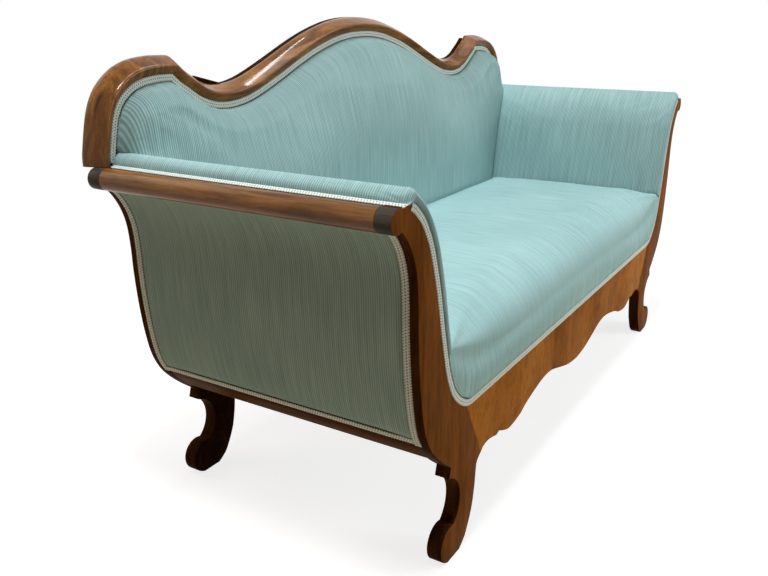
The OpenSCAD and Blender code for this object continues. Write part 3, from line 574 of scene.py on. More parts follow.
class Nodes:
    """A short way to wire up a node tree."""

    def __init__(self, tree: bpy.types.NodeTree) -> None:
        """Empties a tree.

        Args:
            tree: The tree to work in.
        """
        self.tree = tree
        tree.nodes.clear()

    def feed(self, node: bpy.types.Node, socket: int | str, value: object) -> None:
        """Joins an output to a node's input, or sets that input.

        Args:
            node: The node.
            socket: Its input, by name or number.
            value: An output, or what the input is set to.
        """
        if isinstance(value, bpy.types.NodeSocket):
            self.tree.links.new(value, node.inputs[socket])
        else:
            node.inputs[socket].default_value = value

    def add(self, kind: str, **values: object) -> bpy.types.Node:
        """Adds a node.

        Args:
            kind: The node's type.
            values: Its properties first, then inputs, written with a leading in_.

        Returns:
            The node.
        """
        node = self.tree.nodes.new(kind)
        for key, value in values.items():
            if key.startswith("in_"):
                self.feed(node, key[3:].replace("_", " "), value)
            else:
                setattr(node, key, value)
        return node

    def maths(self, kind: str, *values: object, clamp: bool = False) -> bpy.types.NodeSocket:
        """Reckons with numbers and outputs.

        Args:
            kind: The operation.
            values: Numbers or outputs, in order.
            clamp: Whether the result stays between 0 and 1.

        Returns:
            The result.
        """
        node = self.add("ShaderNodeMath", operation=kind, use_clamp=clamp)
        for place, value in enumerate(values):
            self.feed(node, place, value)
        return node.outputs[0]

    def shaders(self, factor: object, first: bpy.types.Node, second: bpy.types.Node) -> bpy.types.Node:
        """Blends two shaders, the second where the factor is 1."""
        node = self.add("ShaderNodeMixShader")
        for place, value in enumerate((factor, first.outputs[0], second.outputs[0])):
            self.feed(node, place, value)
        return node

    def white_rays(self) -> bpy.types.NodeSocket:
        """Picks out seen, mirrored and see-through rays, which show the white background."""
        path = self.add("ShaderNodeLightPath").outputs
        total = path["Is Camera Ray"]
        for name in ("Is Glossy Ray", "Is Transmission Ray"):
            total = self.maths("MAXIMUM", total, path[name])
        return total


class Surface(Nodes):
    """The nodes of a material."""

    def __init__(self, name: str) -> None:
        """Starts a material.

        Args:
            name: The material's name.
        """
        self.material = bpy.data.materials.new(name)
        self.material.use_nodes = True
        super().__init__(self.material.node_tree)
        self.shader = self.add("ShaderNodeBsdfPrincipled")
        self.out = self.add("ShaderNodeOutputMaterial", in_Surface=self.shader.outputs["BSDF"])

    def set(self, **values: object) -> None:
        """Sets or joins the shader's inputs, written with underscores for spaces."""
        for key, value in values.items():
            self.feed(self.shader, key.replace("_", " "), value)

    def object_place(self) -> bpy.types.NodeSocket:
        """Places on the object, in metres."""
        return self.add("ShaderNodeTexCoord").outputs["Object"]

    def cloth_place(self) -> tuple[bpy.types.NodeSocket, Sequence[bpy.types.NodeSocket]]:
        """Places on the cloth in metres, whole and split into its two axes."""
        uv = self.add("ShaderNodeUVMap", uv_map="cloth").outputs[0]
        return uv, self.add("ShaderNodeSeparateXYZ", in_Vector=uv).outputs

    def mapped(self, place: bpy.types.NodeSocket, scale: Sequence[float],
               turn: Sequence[float] = (0.0, 0.0, 0.0)) -> bpy.types.NodeSocket:
        """Scales and turns places."""
        return self.add("ShaderNodeMapping", in_Vector=place, in_Scale=scale, in_Rotation=turn).outputs[0]

    def noise(self, place: bpy.types.NodeSocket, scale: float, detail: float, roughness: float = 0.5,
              distortion: float = 0.0) -> bpy.types.NodeSocket:
        """Gives the value of a noise texture at places."""
        return self.add("ShaderNodeTexNoise", in_Vector=place, in_Scale=scale, in_Detail=detail,
                        in_Roughness=roughness, in_Distortion=distortion).outputs[0]

    def ramp(self, source: bpy.types.NodeSocket, *stops: tuple[float, Colour]) -> bpy.types.NodeSocket:
        """Turns a value into a colour, through stops given as place and colour."""
        node = self.add("ShaderNodeValToRGB")
        bar = node.color_ramp
        while len(bar.elements) < len(stops):
            bar.elements.new(0.5)
        for element, (place, colour) in zip(bar.elements, stops):
            element.position = place
            element.color = (*colour, 1.0)
        self.feed(node, 0, source)
        return node.outputs[0]

    def mix(self, factor: float, a: bpy.types.NodeSocket, b: bpy.types.NodeSocket,
            kind: str = "MIX") -> bpy.types.NodeSocket:
        """Blends two colours."""
        node = self.add("ShaderNodeMix", data_type="RGBA", blend_type=kind)
        for place, value in ((0, factor), (6, a), (7, b)):
            self.feed(node, place, value)
        return node.outputs[2]

    def relief(self, height: bpy.types.NodeSocket, strength: float, metres: float,
               sunk: bool = False) -> None:
        """Gives the surface a fine relief."""
        node = self.add("ShaderNodeBump", invert=sunk, in_Height=height, in_Strength=strength,
                        in_Distance=metres)
        self.set(Normal=node.outputs[0])


@dataclass(frozen=True)
class WoodFinish:
    """Polished or plain wood with grain, figure and pores."""

    name: str
    pale: Colour
    middle: Colour
    dark: Colour
    grain: Grain = Grain.LONG
    roughness: float = 0.35
    polish: float = 0.4
    figure: float = 0.3
    patches: float = 0.0
    gloss: float = 0.10
    sheer: float = 0.16

    def make(self) -> bpy.types.Material:
        """Builds the material.

        Returns:
            The material.
        """
        n = Surface(self.name)
        place = n.object_place()
        along = n.mapped(place, self.grain.value)
        rings = n.noise(along, 2.4, 6.0, 0.62, 1.1)
        pores = n.noise(along, 22.0, 4.0, 0.7)
        figure = n.noise(place, 7.0, 3.0, 0.5, 0.8)
        base = n.ramp(rings, (0.30, self.dark), (0.48, self.middle), (0.70, self.pale))
        cloudy = n.ramp(figure, (0.35, self.dark), (0.62, self.pale))
        coloured = n.mix(self.figure, base, cloudy, "SOFT_LIGHT")
        if self.patches:
            spread = n.mapped(place, (1.0, 0.3, 0.22), (0.0, 0.22, 0.0))
            leaf = n.add("ShaderNodeTexVoronoi", in_Vector=spread, in_Scale=8.5, in_Randomness=0.8)
            shade = n.add("ShaderNodeSeparateColor", in_Color=leaf.outputs["Color"]).outputs[0]
            warm = n.ramp(shade, (0.0, self.dark), (0.5, self.middle), (1.0, self.pale))
            coloured = n.mix(self.patches, coloured, warm)
        fine = n.ramp(pores, (0.36, (0.55, 0.5, 0.48)), (0.52, (1.0, 1.0, 1.0)))
        n.set(Base_Color=n.mix(0.55, coloured, fine, "MULTIPLY"),
              Roughness=n.maths("MULTIPLY_ADD", figure, 0.16, self.roughness - 0.08),
              Coat_Weight=self.polish, Coat_Roughness=self.sheer, Coat_IOR=1.4,
              Specular_IOR_Level=self.gloss)
        n.relief(pores, 0.12, 0.0006)
        return n.material


@dataclass(frozen=True)
class RibbedCloth:
    """Fine corded cloth with a soft sheen; its cords run along the cloth's second axis. Painted light
    scales its colour by how it faces: by upright where it stands upright, by level where it faces up.
    """

    name: str
    ground: Colour = (0.205, 0.365, 0.370)
    light: Colour = (0.47, 0.70, 0.71)
    pitch_mm: float = 4.6
    relief_mm: float = 0.45
    sheen: float = 0.12
    # Painted light: colour factors where the cloth stands upright and where it faces up.
    upright: float = 1.0
    level: float = 1.0
    drift_m: float = 0.005

    def make(self) -> bpy.types.Material:
        """Builds the material.

        Returns:
            The material.
        """
        n = Surface(self.name)
        place, axes = n.cloth_place()
        drift = n.maths("MULTIPLY_ADD", n.noise(place, 7.0, 2.0), self.drift_m, axes[0])
        wave = n.maths("SINE", n.maths("MULTIPLY", drift, 2 * math.pi / (self.pitch_mm * MM)))
        cord = n.maths("MULTIPLY_ADD", wave, 0.5, 0.5)
        streak = n.noise(n.mapped(place, (180.0, 7.0, 1.0)), 1.0, 3.0, 0.6)
        cloud = n.noise(place, 3.2, 3.0)
        thread = n.noise(n.mapped(place, (900.0, 900.0, 1.0)), 1.0, 1.0)
        tone = n.maths("MULTIPLY_ADD", n.maths("POWER", cord, 1.6), 0.42, n.maths("MULTIPLY", streak, 0.66))
        shade = n.maths("MULTIPLY_ADD", cloud, 0.34, tone)
        colour = n.ramp(shade, (0.36, self.ground), (0.98, self.light))
        # Painted light: the colour is scaled between upright and level by how far the surface faces up.
        lie = n.add("ShaderNodeNewGeometry").outputs["Normal"]
        facing = n.add("ShaderNodeSeparateXYZ", in_Vector=lie).outputs[2]
        painted_light_factor = n.add("ShaderNodeMapRange", interpolation_type="SMOOTHSTEP", in_Value=facing,
                    in_From_Min=0.28, in_From_Max=0.78, in_To_Min=self.upright,
                    in_To_Max=self.level).outputs["Result"]
        colour_with_painted_light = n.add("ShaderNodeVectorMath", operation="SCALE", in_Vector=colour, in_Scale=painted_light_factor).outputs[0]
        n.set(Base_Color=colour_with_painted_light, Roughness=0.75, Sheen_Weight=self.sheen, Sheen_Roughness=0.42,
              Sheen_Tint=(0.80, 0.97, 0.95, 1.0), Specular_IOR_Level=0.06)
        n.relief(n.maths("MULTIPLY_ADD", thread, 0.3, cord), 0.55, self.relief_mm * MM)
        return n.material


@dataclass(frozen=True)
class BraidFinish:
    """Pale woven braid with a row of small loops along its middle and one down each flank."""

    name: str = "woven_braid"
    pale: Colour = (0.84, 0.93, 0.88)
    shade: Colour = (0.10, 0.14, 0.12)
    loop_mm: float = 5.6
    slant_per_m: float = 620.0
    flank_m: float = 0.0050

    def make(self) -> bpy.types.Material:
        """Builds the material.

        Returns:
            The material.
        """
        n = Surface(self.name)
        place, axes = n.cloth_place()
        run = n.maths("MULTIPLY", axes[0], 2 * math.pi / (self.loop_mm * MM))
        cross = n.maths("MULTIPLY", *(
            n.maths("SINE", n.maths("MULTIPLY_ADD", axes[1], lean, run))
            for lean in (self.slant_per_m, -self.slant_per_m)))
        middle = n.maths("ABSOLUTE", axes[1])
        near = n.maths("SUBTRACT", 1.0, n.maths("MULTIPLY", middle, 420.0), clamp=True)
        loops = n.maths("MULTIPLY_ADD", n.maths("SINE", run), 0.5, 0.5)
        hole = n.maths("MULTIPLY", near, n.maths("POWER", loops, 2.0))
        beside = n.maths("ABSOLUTE", n.maths("SUBTRACT", middle, self.flank_m))
        flank = n.maths("SUBTRACT", 1.0, n.maths("MULTIPLY", beside, 650.0), clamp=True)
        gap = n.maths("MULTIPLY", flank, n.maths("POWER", n.maths("SUBTRACT", 1.0, loops), 2.0))
        holes = n.maths("MULTIPLY_ADD", gap, 0.55, n.maths("MULTIPLY", hole, 0.95))
        weave = n.maths("MULTIPLY_ADD", cross, 0.12, holes)
        fuzz = n.noise(n.mapped(place, (500.0, 500.0, 1.0)), 1.0, 2.0)
        shade = n.maths("MULTIPLY_ADD", fuzz, 0.30, weave)
        n.set(Base_Color=n.ramp(shade, (0.18, self.pale), (0.85, self.shade)),
              Roughness=0.7, Sheen_Weight=0.1, Specular_IOR_Level=0.15)
        n.relief(weave, 0.8, 0.0006, sunk=True)
        return n.material


@dataclass(frozen=True)
class PlainFinish:
    """Cloth, jute or wire that is mostly out of sight."""

    name: str
    pale: Colour
    dark: Colour
    roughness: float = 0.8
    metal: float = 0.0
    weave_mm: float = 3.0

    def make(self) -> bpy.types.Material:
        """Builds the material.

        Returns:
            The material.
        """
        n = Surface(self.name)
        scale = 2.0 / (self.weave_mm * MM)
        weave = n.noise(n.mapped(n.object_place(), (scale, scale, scale)), 1.0, 3.0)
        n.set(Base_Color=n.ramp(weave, (0.35, self.dark), (0.65, self.pale)),
              Roughness=self.roughness, Metallic=self.metal)
        n.relief(weave, 0.4, 0.0005)
        return n.material


class Palette:
    """All finishes of the settee, built once."""

    def __init__(self) -> None:
        """Builds the finishes."""
        walnut = ((0.40, 0.185, 0.038), (0.215, 0.088, 0.012), (0.085, 0.029, 0.004))
        lacquer = {"roughness": 0.28, "polish": 0.50, "gloss": 0.02, "sheer": 0.09}
        waxed = {"grain": Grain.UPRIGHT, "roughness": 0.45, "polish": 0.0, "figure": 0.6, "patches": 0.25,
                 "gloss": 0.004}
        dull = {"grain": Grain.DEEP, "roughness": 0.5, "polish": 0.0, "gloss": 0.004}
        burr = {"grain": Grain.BURR, "figure": 0.75, "patches": 0.6}
        block = {"grain": Grain.DEEP, "roughness": 0.4, "polish": 0.1, "gloss": 0.02}
        woods = {
            "crest": WoodFinish("polished_walnut", *walnut, **lacquer),
            "upright": WoodFinish("polished_walnut_upright", *walnut, Grain.UPRIGHT, **lacquer),
            "roll": WoodFinish("polished_walnut_roll", (0.46, 0.235, 0.075), (0.265, 0.128, 0.038),
                               (0.115, 0.048, 0.012), Grain.DEEP, **lacquer),
            "face": WoodFinish("veneered_face", (0.35, 0.155, 0.042), (0.235, 0.098, 0.023),
                               (0.12, 0.046, 0.009), **waxed),
            "veneer": WoodFinish("figured_veneer", (0.60, 0.280, 0.062), (0.42, 0.178, 0.033),
                                 (0.20, 0.078, 0.012), **{**waxed, **burr}),
            "end_rail": WoodFinish("end_walnut", (0.20, 0.082, 0.020), (0.115, 0.043, 0.009),
                                   (0.055, 0.019, 0.004), **dull),
            "block": WoodFinish("end_block", (0.135, 0.115, 0.095), (0.095, 0.080, 0.066),
                                (0.055, 0.045, 0.036), **block),
            # Post edges: partly a darker stain on the edges, partly painted shade for the sides turned from
            # the light.
            "edge": WoodFinish("dark_edge", (0.15, 0.060, 0.016), (0.082, 0.031, 0.008),
                               (0.036, 0.013, 0.004), **{**dull, "grain": Grain.UPRIGHT}),
            "dark": WoodFinish("dark_walnut", (0.070, 0.025, 0.006), (0.036, 0.012, 0.003),
                               (0.016, 0.006, 0.002), **dull),
            "beech": WoodFinish("beech", (0.62, 0.44, 0.26), (0.52, 0.35, 0.19), (0.40, 0.25, 0.13),
                                roughness=0.75, polish=0.0)}
        cloths = {
            # Painted light on the arms and outside back: upward faces lighter, upright faces darker.
            "cloth": RibbedCloth("ribbed_fabric", upright=0.92, level=1.18),
            # Lit copy of the cloth: the seat is painted lighter than the same fabric elsewhere, with
            # painted light on its upward faces.
            "seat_cloth": RibbedCloth("ribbed_fabric_seat_painted_light", (0.243, 0.44, 0.45), (0.55, 0.83, 0.85),
                                      upright=0.92, level=1.03),
            # Shaded copy of the cloth: the back is painted darker than the same fabric elsewhere, with
            # painted shade where it faces up.
            "back_cloth": RibbedCloth("ribbed_fabric_back_painted_shade", (0.184, 0.325, 0.325), (0.422, 0.62, 0.62),
                                      level=0.80),
            # Copy of the cloth with painted warm shade, for the outsides of the ends.
            "end_cloth": RibbedCloth("ribbed_fabric_end", (0.22, 0.35, 0.335), (0.50, 0.68, 0.64)),
            "braid": BraidFinish()}
        hidden = {
            "jute": PlainFinish("jute", (0.42, 0.32, 0.18), (0.28, 0.20, 0.11)),
            "steel": PlainFinish("steel", (0.45, 0.46, 0.48), (0.30, 0.31, 0.33), 0.38, 1.0, 8.0),
            "black": PlainFinish("black_cloth", (0.035, 0.035, 0.04), (0.02, 0.02, 0.022), 0.9, 0.0, 2.0)}
        self.materials = {key: finish.make() for key, finish in {**woods, **cloths, **hidden}.items()}

    def __getitem__(self, key: str) -> bpy.types.Material:
        """Gives a finish by its key."""
        return self.materials[key]


# Pieces


def dress(obj: bpy.types.Object, *materials: bpy.types.Material) -> None:
    """Gives a piece its materials, the first of them everywhere."""
    obj.data.materials.clear()
    for material in materials:
        obj.data.materials.append(material)


def stand_for(obj: bpy.types.Object, node: str) -> None:
    """Ties a piece to the frame, in the place of its solid.

    Args:
        obj: The piece.
        node: The solid that it stands for.
    """
    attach(obj, "root")
    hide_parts(node)


@dataclass
class Maker:
    """One trade, with the finishes, sizes and outlines that it works from."""

    palette: Palette
    sizes: Sizes = SIZES
    profiles: Profiles = field(default_factory=lambda: PROFILES)


@dataclass
class ShowWood(Maker):
    """The carcase that is seen: posts, front rail, end rails and arm rolls."""

    post_ease: float = 1.3
    roll_ease: float = 0.8
    roll_sides: int = 64
    rim_play: float = 0.5

    def build(self) -> None:
        """Builds and dresses every piece."""
        self.front_rail()
        for side in Side:
            self.post(side, "front", 0.0)
            self.post(side, "rear", self.sizes.rear_y)
            self.roll(side)
            self.end_rail(side)

    def post(self, side: Side, row: str, y0: float) -> None:
        """Builds one S-shaped post.

        Args:
            side: The end that it is for.
            row: Whether it is the front or the rear one.
            y0: Its front face.
        """
        s = self.sizes
        name = f"{row}_post_{side.word}"
        obj = plate(f"{name}_wood", self.profiles.post(), y0, s.post_t, side, self.post_ease)
        face, slot = ("face", "polished_walnut") if row == "front" else ("dark", "dark_walnut")
        # Every face but the front gets the dark edge finish, partly a darker stain and partly painted
        # shade.
        dress(obj, self.palette["edge"], self.palette[face], self.palette["block"])
        roll = np.array([s.half * side.value, s.roll_z]) * MM
        for polygon in obj.data.polygons:
            if polygon.normal.y < -0.9:
                polygon.material_index = 1
            elif math.dist((polygon.center.x, polygon.center.z), roll) < (s.roll_r + self.rim_play) * MM:
                polygon.material_index = 2
        stand_for(obj, name)

    def front_rail(self) -> None:
        """Builds the scalloped front rail."""
        obj = plate("front_rail_wood", self.profiles.apron(), 0.0, self.sizes.rail_t)
        dress(obj, self.palette["veneer"])
        stand_for(obj, "front_rail")

    def end_rail(self, side: Side) -> None:
        """Builds the curved rail at the foot of an end."""
        s = self.sizes
        outer = stretch(self.profiles.outer_line, s.line_z - s.gimp_w * 0.1 - s.gap, s.end_rail_z)
        outline = np.vstack([outer, shifted(outer, s.end_rail_t)[::-1]])
        depth = s.rear_y - s.post_t - 2 * s.gap
        obj = plate(f"end_rail_{side.word}_wood", outline, s.post_t + s.gap, depth, side)
        dress(obj, self.palette["end_rail"])
        stand_for(obj, f"end_rail_{side.word}")

    def roll(self, side: Side) -> None:
        """Turns the round rail on top of an end."""
        s = self.sizes
        ease = self.roll_ease
        y0, y1 = s.post_t + s.gap, s.rear_y - s.gap
        centre = (s.half * side.value, s.roll_z)
        thin = s.roll_r - ease
        rings = []
        for y, r in ((y0, thin), (y0 + ease, s.roll_r), (y1 - ease, s.roll_r), (y1, thin)):
            rings.append(upright(arc(centre, r, 0.0, 360.0, self.roll_sides + 1)[:-1], y))
        obj = lofted(f"arm_roll_{side.word}_wood", rings)
        dress(obj, self.palette["roll"])
        stand_for(obj, f"arm_roll_{side.word}")


@dataclass
class BackFrame(Maker):
    """The moulded serpentine frame round the back, with its mitred ears."""

    crisp: float = 40.0

    def section(self) -> np.ndarray:
        """Points of the moulding's section.

        Returns:
            Distance outwards from the inner arris, and depth, one row a point.
        """
        s = self.sizes
        swell = [(n * s.frame_w, s.frame_y - d * s.frame_swell) for n, d in self.profiles.SWELL]
        return np.vstack([
            [(-s.lip_w, s.lip_y), (-0.6, s.lip_y)],
            curve(swell, 5),
            [(s.frame_w * 0.995, s.frame_back - 3.0), (s.frame_w * 0.97, s.frame_back - 0.6),
             (s.frame_w * 0.94, s.frame_back), (s.gap, s.frame_back), (s.gap, s.post_depth),
             (-s.lip_w, s.post_depth)]])

    def build(self) -> None:
        """Builds the crest and both ears."""
        line = self.profiles.back_line
        out = mitres(line)
        shape = self.section()
        total = len(line) - 1
        mitre = len(self.profiles.ear_line) - 1
        for name, first, last, finish in (
            ("back_ear_right", 0, mitre, "upright"),
            ("crest_rail", mitre, total - mitre, "crest"),
            ("back_ear_left", total - mitre, total, "upright"),
        ):
            rings = [upright(line[i] + np.outer(shape[:, 0], out[i]), shape[:, 1])
                     for i in range(first, last + 1)]
            obj = lofted(f"{name}_wood", rings, self.crisp)
            dress(obj, self.palette[finish])
            stand_for(obj, name)


@dataclass
class Relaxer:
    """Lets a taut cover settle over its stuffing in a short cloth simulation."""

    pressure: float = 2.4
    frames: int = 12
    most_mm: float = 4.5

    def simulated(self, obj: bpy.types.Object, held: np.ndarray) -> np.ndarray:
        """Runs the simulation.

        Args:
            obj: The closed piece.
            held: True for each vertex that is tacked down.

        Returns:
            Where each vertex ends up, one row a vertex, in metres.
        """
        group = obj.vertex_groups.new(name="tacked")
        group.add([int(i) for i in np.nonzero(held)[0]], 1.0, "REPLACE")
        cloth = obj.modifiers.new("cover", "CLOTH")
        cloth.settings.use_pressure = True
        cloth.settings.uniform_pressure_force = self.pressure
        cloth.settings.vertex_group_mass = group.name
        cloth.settings.effector_weights.gravity = 0.0
        cloth.settings.quality = 4
        cloth.settings.tension_stiffness = 25.0
        cloth.settings.compression_stiffness = 25.0
        cloth.settings.shear_stiffness = 12.0
        cloth.settings.bending_stiffness = 1.5
        cloth.point_cache.frame_start = 1
        cloth.point_cache.frame_end = self.frames
        for number in range(1, self.frames + 1):
            bpy.context.scene.frame_set(number)
        settled = obj.evaluated_get(bpy.context.evaluated_depsgraph_get())
        after = np.zeros(len(obj.data.vertices) * 3)
        settled.to_mesh().vertices.foreach_get("co", after)
        settled.to_mesh_clear()
        obj.modifiers.clear()
        obj.vertex_groups.clear()
        return after.reshape(-1, 3)

    def settle(self, obj: bpy.types.Object, held: np.ndarray, kept: float) -> None:
        """Simulates the cover and keeps the result, each point moved no further than allowed.

        Args:
            obj: The closed piece.
            held: True for each vertex that is tacked down.
            kept: Share of the movement that is kept, less than 1 for a cover without folds.
        """
        before = np.zeros(len(obj.data.vertices) * 3)
        obj.data.vertices.foreach_get("co", before)
        before = before.reshape(-1, 3)
        step = self.simulated(obj, held) - before
        size = np.linalg.norm(step, axis=1)
        limit = self.most_mm * MM
        scale = np.where(size > limit, limit / np.maximum(size, 1e-9), 1.0)
        scale = np.where(held, 0.0, scale * kept)
        obj.data.vertices.foreach_set("co", (before + step * scale[:, None]).ravel())
        obj.data.update()
        bpy.context.scene.frame_set(1)
        LOG.info("%s settled, %.1f mm at most", obj.name, float((size * scale).max() / MM))


@dataclass
class Padding(Maker):
    """The stuffed seat, back and arms under their ribbed cloth, in millimetres."""

    relaxer: Relaxer = field(default_factory=Relaxer)
    back_spread: float = 1.06
    roll_len: float = 45.0
    rise_len: float = 260.0
    back_play: float = 4.2
    middle_share: float = 0.16
    side_power: float = 1.25
    rise_power: float = 1.7
    pull_len: float = 95.0
    pull_side: float = 3.5
    pull_up: float = 10.0
    wave_len: float = 70.0
    wave_start: float = 12.0
    wave_pitch: float = 9.0
    wave_high: float = 0.3
    wall_shares: tuple[float, ...] = (0.0, 0.15, 0.3, 0.45, 0.6, 0.72, 0.84, 0.93)
    tacked_high: float = 12.0
    seat_round: float = 14.0
    seat_level_share: float = 0.38
    seat_corner_share: float = 0.75
    edge_fall: float = 12.0
    edge_roll: float = 30.0
    corner_y: float = 8.0
    arm_kept: float = 0.25
    arm_bend_share: float = 0.42
    arm_radius: float = 13.0
    arm_foot_over: float = 0.6
    foot_fall: float = 8.0
    foot_rear_fall: float = 16.0
    rear_bend: float = 70.0
    tail: float = 34.0
    crown_shares: tuple[tuple[float, float], ...] = (
        (1.27, 0.02), (1.38, 0.30), (1.60, 0.60), (1.92, 0.85), (2.3, 1.0))
    beside_post: tuple[float, ...] = (13.5, 17.0, 20.5, 24.0, 27.5, 31.0)

    def build(self) -> None:
        """Builds every padded piece."""
        self.seat()
        self.back()
        for side in Side:
            self.arm(side)

    def finish(self, obj: bpy.types.Object, node: str, held: np.ndarray, fill: float, cloth: str,
               kept: float = 1.0) -> None:
        """Settles, dresses and places a padded piece.

        Args:
            obj: The piece.
            node: The solid that it stands for.
            held: Which of its vertices are tacked down.
            fill: How tight it is stuffed; not used.
            cloth: Its cover.
            kept: Share of the simulated movement that is kept.
        """
        self.relaxer.settle(obj, held, kept)
        dress(obj, self.palette[cloth])
        stand_for(obj, node)

    # Seat

    def back_arch(self, x: np.ndarray) -> np.ndarray:
        """How much further the back padding stands out at a width than at its sides."""
        s = self.sizes
        return s.back_crown * (1 - (x / (s.half * self.back_spread)) ** 2)

    @property
    def pad_front(self) -> float:
        """Depth of the border of the back padding."""
        return self.sizes.frame_y + self.sizes.front_proud / 2

    def seat_rear(self, x: np.ndarray) -> np.ndarray:
        """Rear edge of the seat, in front of the back padding."""
        s = self.sizes
        return self.pad_front - (s.back_roll + self.back_arch(x)) - 3 * s.gap

    def past_corner(self, y: np.ndarray) -> np.ndarray:
        """Share of the way from the seat's front corner to the rear of the front post."""
        return (y - self.corner_y) / (self.sizes.post_t - self.corner_y)

    def seat_side(self, y: np.ndarray, z: np.ndarray) -> np.ndarray:
        """Half width of the seat, wider in front of the arm padding."""
        wide = self.profiles.wall_x(z)
        narrow = np.minimum(self.sizes.seat_half, wide)
        return wide + (narrow - wide) * np.clip(self.past_corner(y), 0, 1)

    def seat_top(self, x: np.ndarray, y: np.ndarray, edge: np.ndarray) -> np.ndarray:
        """Height of the seat's crown.

        Args:
            x: Widths.
            y: Depths.
            edge: Distances from the nearest edge beside or behind.

        Returns:
            Heights.
        """
        s = self.sizes
        share = np.minimum(1.0, np.abs(x) / s.seat_half)
        front_fall = s.seat_front_fall * (1 - self.seat_corner_share * share**4)
        behind = np.maximum(0, y - s.post_depth * self.seat_level_share) / (s.post_depth / 2)
        return (s.seat_h - self.seat_round * share**2 - self.seat_round * behind**2
                - front_fall * (1 - quarter((y + s.front_proud) / s.seat_front_roll))
                - self.edge_fall * (1 - quarter(edge / self.edge_roll)))

    def seat_place(self, u: np.ndarray, v: np.ndarray, z: np.ndarray) -> tuple[np.ndarray, np.ndarray]:
        """Plan position of a share across and a share back, at a height."""
        s = self.sizes
        first = -s.front_proud + (self.seat_rear(u * s.seat_half) + s.front_proud) * v
        x = u * self.seat_side(first, z)
        return x, -s.front_proud + (self.seat_rear(x) + s.front_proud) * v

    def seat(self) -> None:
        """Builds the sprung seat: a crowned top with walls down to the hessian."""
        s = self.sizes
        across, deep = ((121, 61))
        u = np.sin(np.linspace(-math.pi / 2, math.pi / 2, across))
        v = 0.5 * (1 - np.cos(math.pi * np.linspace(0, 1, deep)))
        uu, vv = np.meshgrid(u, v)
        level = s.seat_h - self.seat_corner_share * s.seat_front_fall
        x, y = self.seat_place(uu, vv, np.full(uu.shape, level))
        z = self.seat_top(x, y, np.minimum((1 - np.abs(uu)) * s.seat_half, self.seat_rear(x) - y))
        x, y = self.seat_place(uu, vv, z)
        rows, columns = np.array(rim_of(deep, across)).T
        rim_z = z[rows, columns]
        walls = []
        for share in self.wall_shares:
            wall_z = s.pad_z + (rim_z - s.pad_z) * share
            plan = self.seat_place(uu[rows, columns], vv[rows, columns], wall_z)
            walls.append(np.stack([*plan, wall_z], axis=1))
        points = np.vstack([*walls, np.stack([x, y, z], axis=2).reshape(-1, 3)])
        count = len(rows)
        top = len(walls) * count
        last = top - count
        rim = top + rows * across + columns
        faces = grid_faces(len(walls), count, closed=True)
        faces += [(last + k, last + (k + 1) % count, rim[(k + 1) % count], rim[k]) for k in range(count)]
        faces += [tuple(top + i for i in face) for face in grid_faces(deep, across)]
        faces.append(tuple(range(count - 1, -1, -1)))
        drop = [-(rim_z - wall[:, 2]) + np.minimum(wall[:, 1], 40) for wall in walls]
        uv = np.stack([points[:, 0], np.concatenate([*drop, y.ravel()])], axis=1)
        obj = build_mesh("seat_cushion_cloth", points, faces, uv)
        held = points[:, 1] > self.seat_rear(points[:, 0]) - 1.0
        held |= points[:, 2] < s.pad_z + self.tacked_high
        held |= np.abs(points[:, 0]) > self.seat_side(points[:, 1], points[:, 2]) - 1.0
        held[:count] = True
        # The seat wears the copy of the cloth with painted light.
        self.finish(obj, "seat_cushion", held, 0.85, "seat_cloth")

    # Back

    def border(self, x: np.ndarray, z: np.ndarray) -> tuple[np.ndarray, np.ndarray, np.ndarray]:
        """Distance of points from the back's border, and the direction to it.

        Args:
            x: Widths.
            z: Heights.

        Returns:
            Distances, and the x and z of the outward direction.
        """
        half = self.profiles.pad_line
        line = np.vstack([half, mirrored(half)[1:]])
        p = np.stack([x.ravel(), z.ravel()], axis=1)
        best = np.full(len(p), 1e9)
        near = np.zeros((len(p), 2))
        for start, way in zip(line[:-1], np.diff(line, axis=0)):
            t = np.clip(((p - start) @ way) / (way @ way), 0, 1)
            at = start + t[:, None] * way
            d = np.linalg.norm(p - at, axis=1)
            closer = d < best
            best[closer] = d[closer]
            near[closer] = at[closer]
        out = (near - p) / np.maximum(best, 1e-6)[:, None]
        return best.reshape(x.shape), out[:, 0].reshape(x.shape), out[:, 1].reshape(x.shape)

    def arm_top(self, x: np.ndarray) -> np.ndarray:
        """Height of the arm padding under the back padding."""
        s = self.sizes
        side = shifted(self.profiles.arm_line, s.gimp_w + s.arm_pad_t + 1.0)[::-1]
        top = self.crown_points()[::-1] + [0, 1.5]
        top = top[(top[:, 0] > side[-1, 0] + 1) & (top[:, 1] > s.arm_h + s.arm_crown / 2)]
        table = np.vstack([side, top])
        return np.interp(np.abs(x), table[:, 0], table[:, 1])

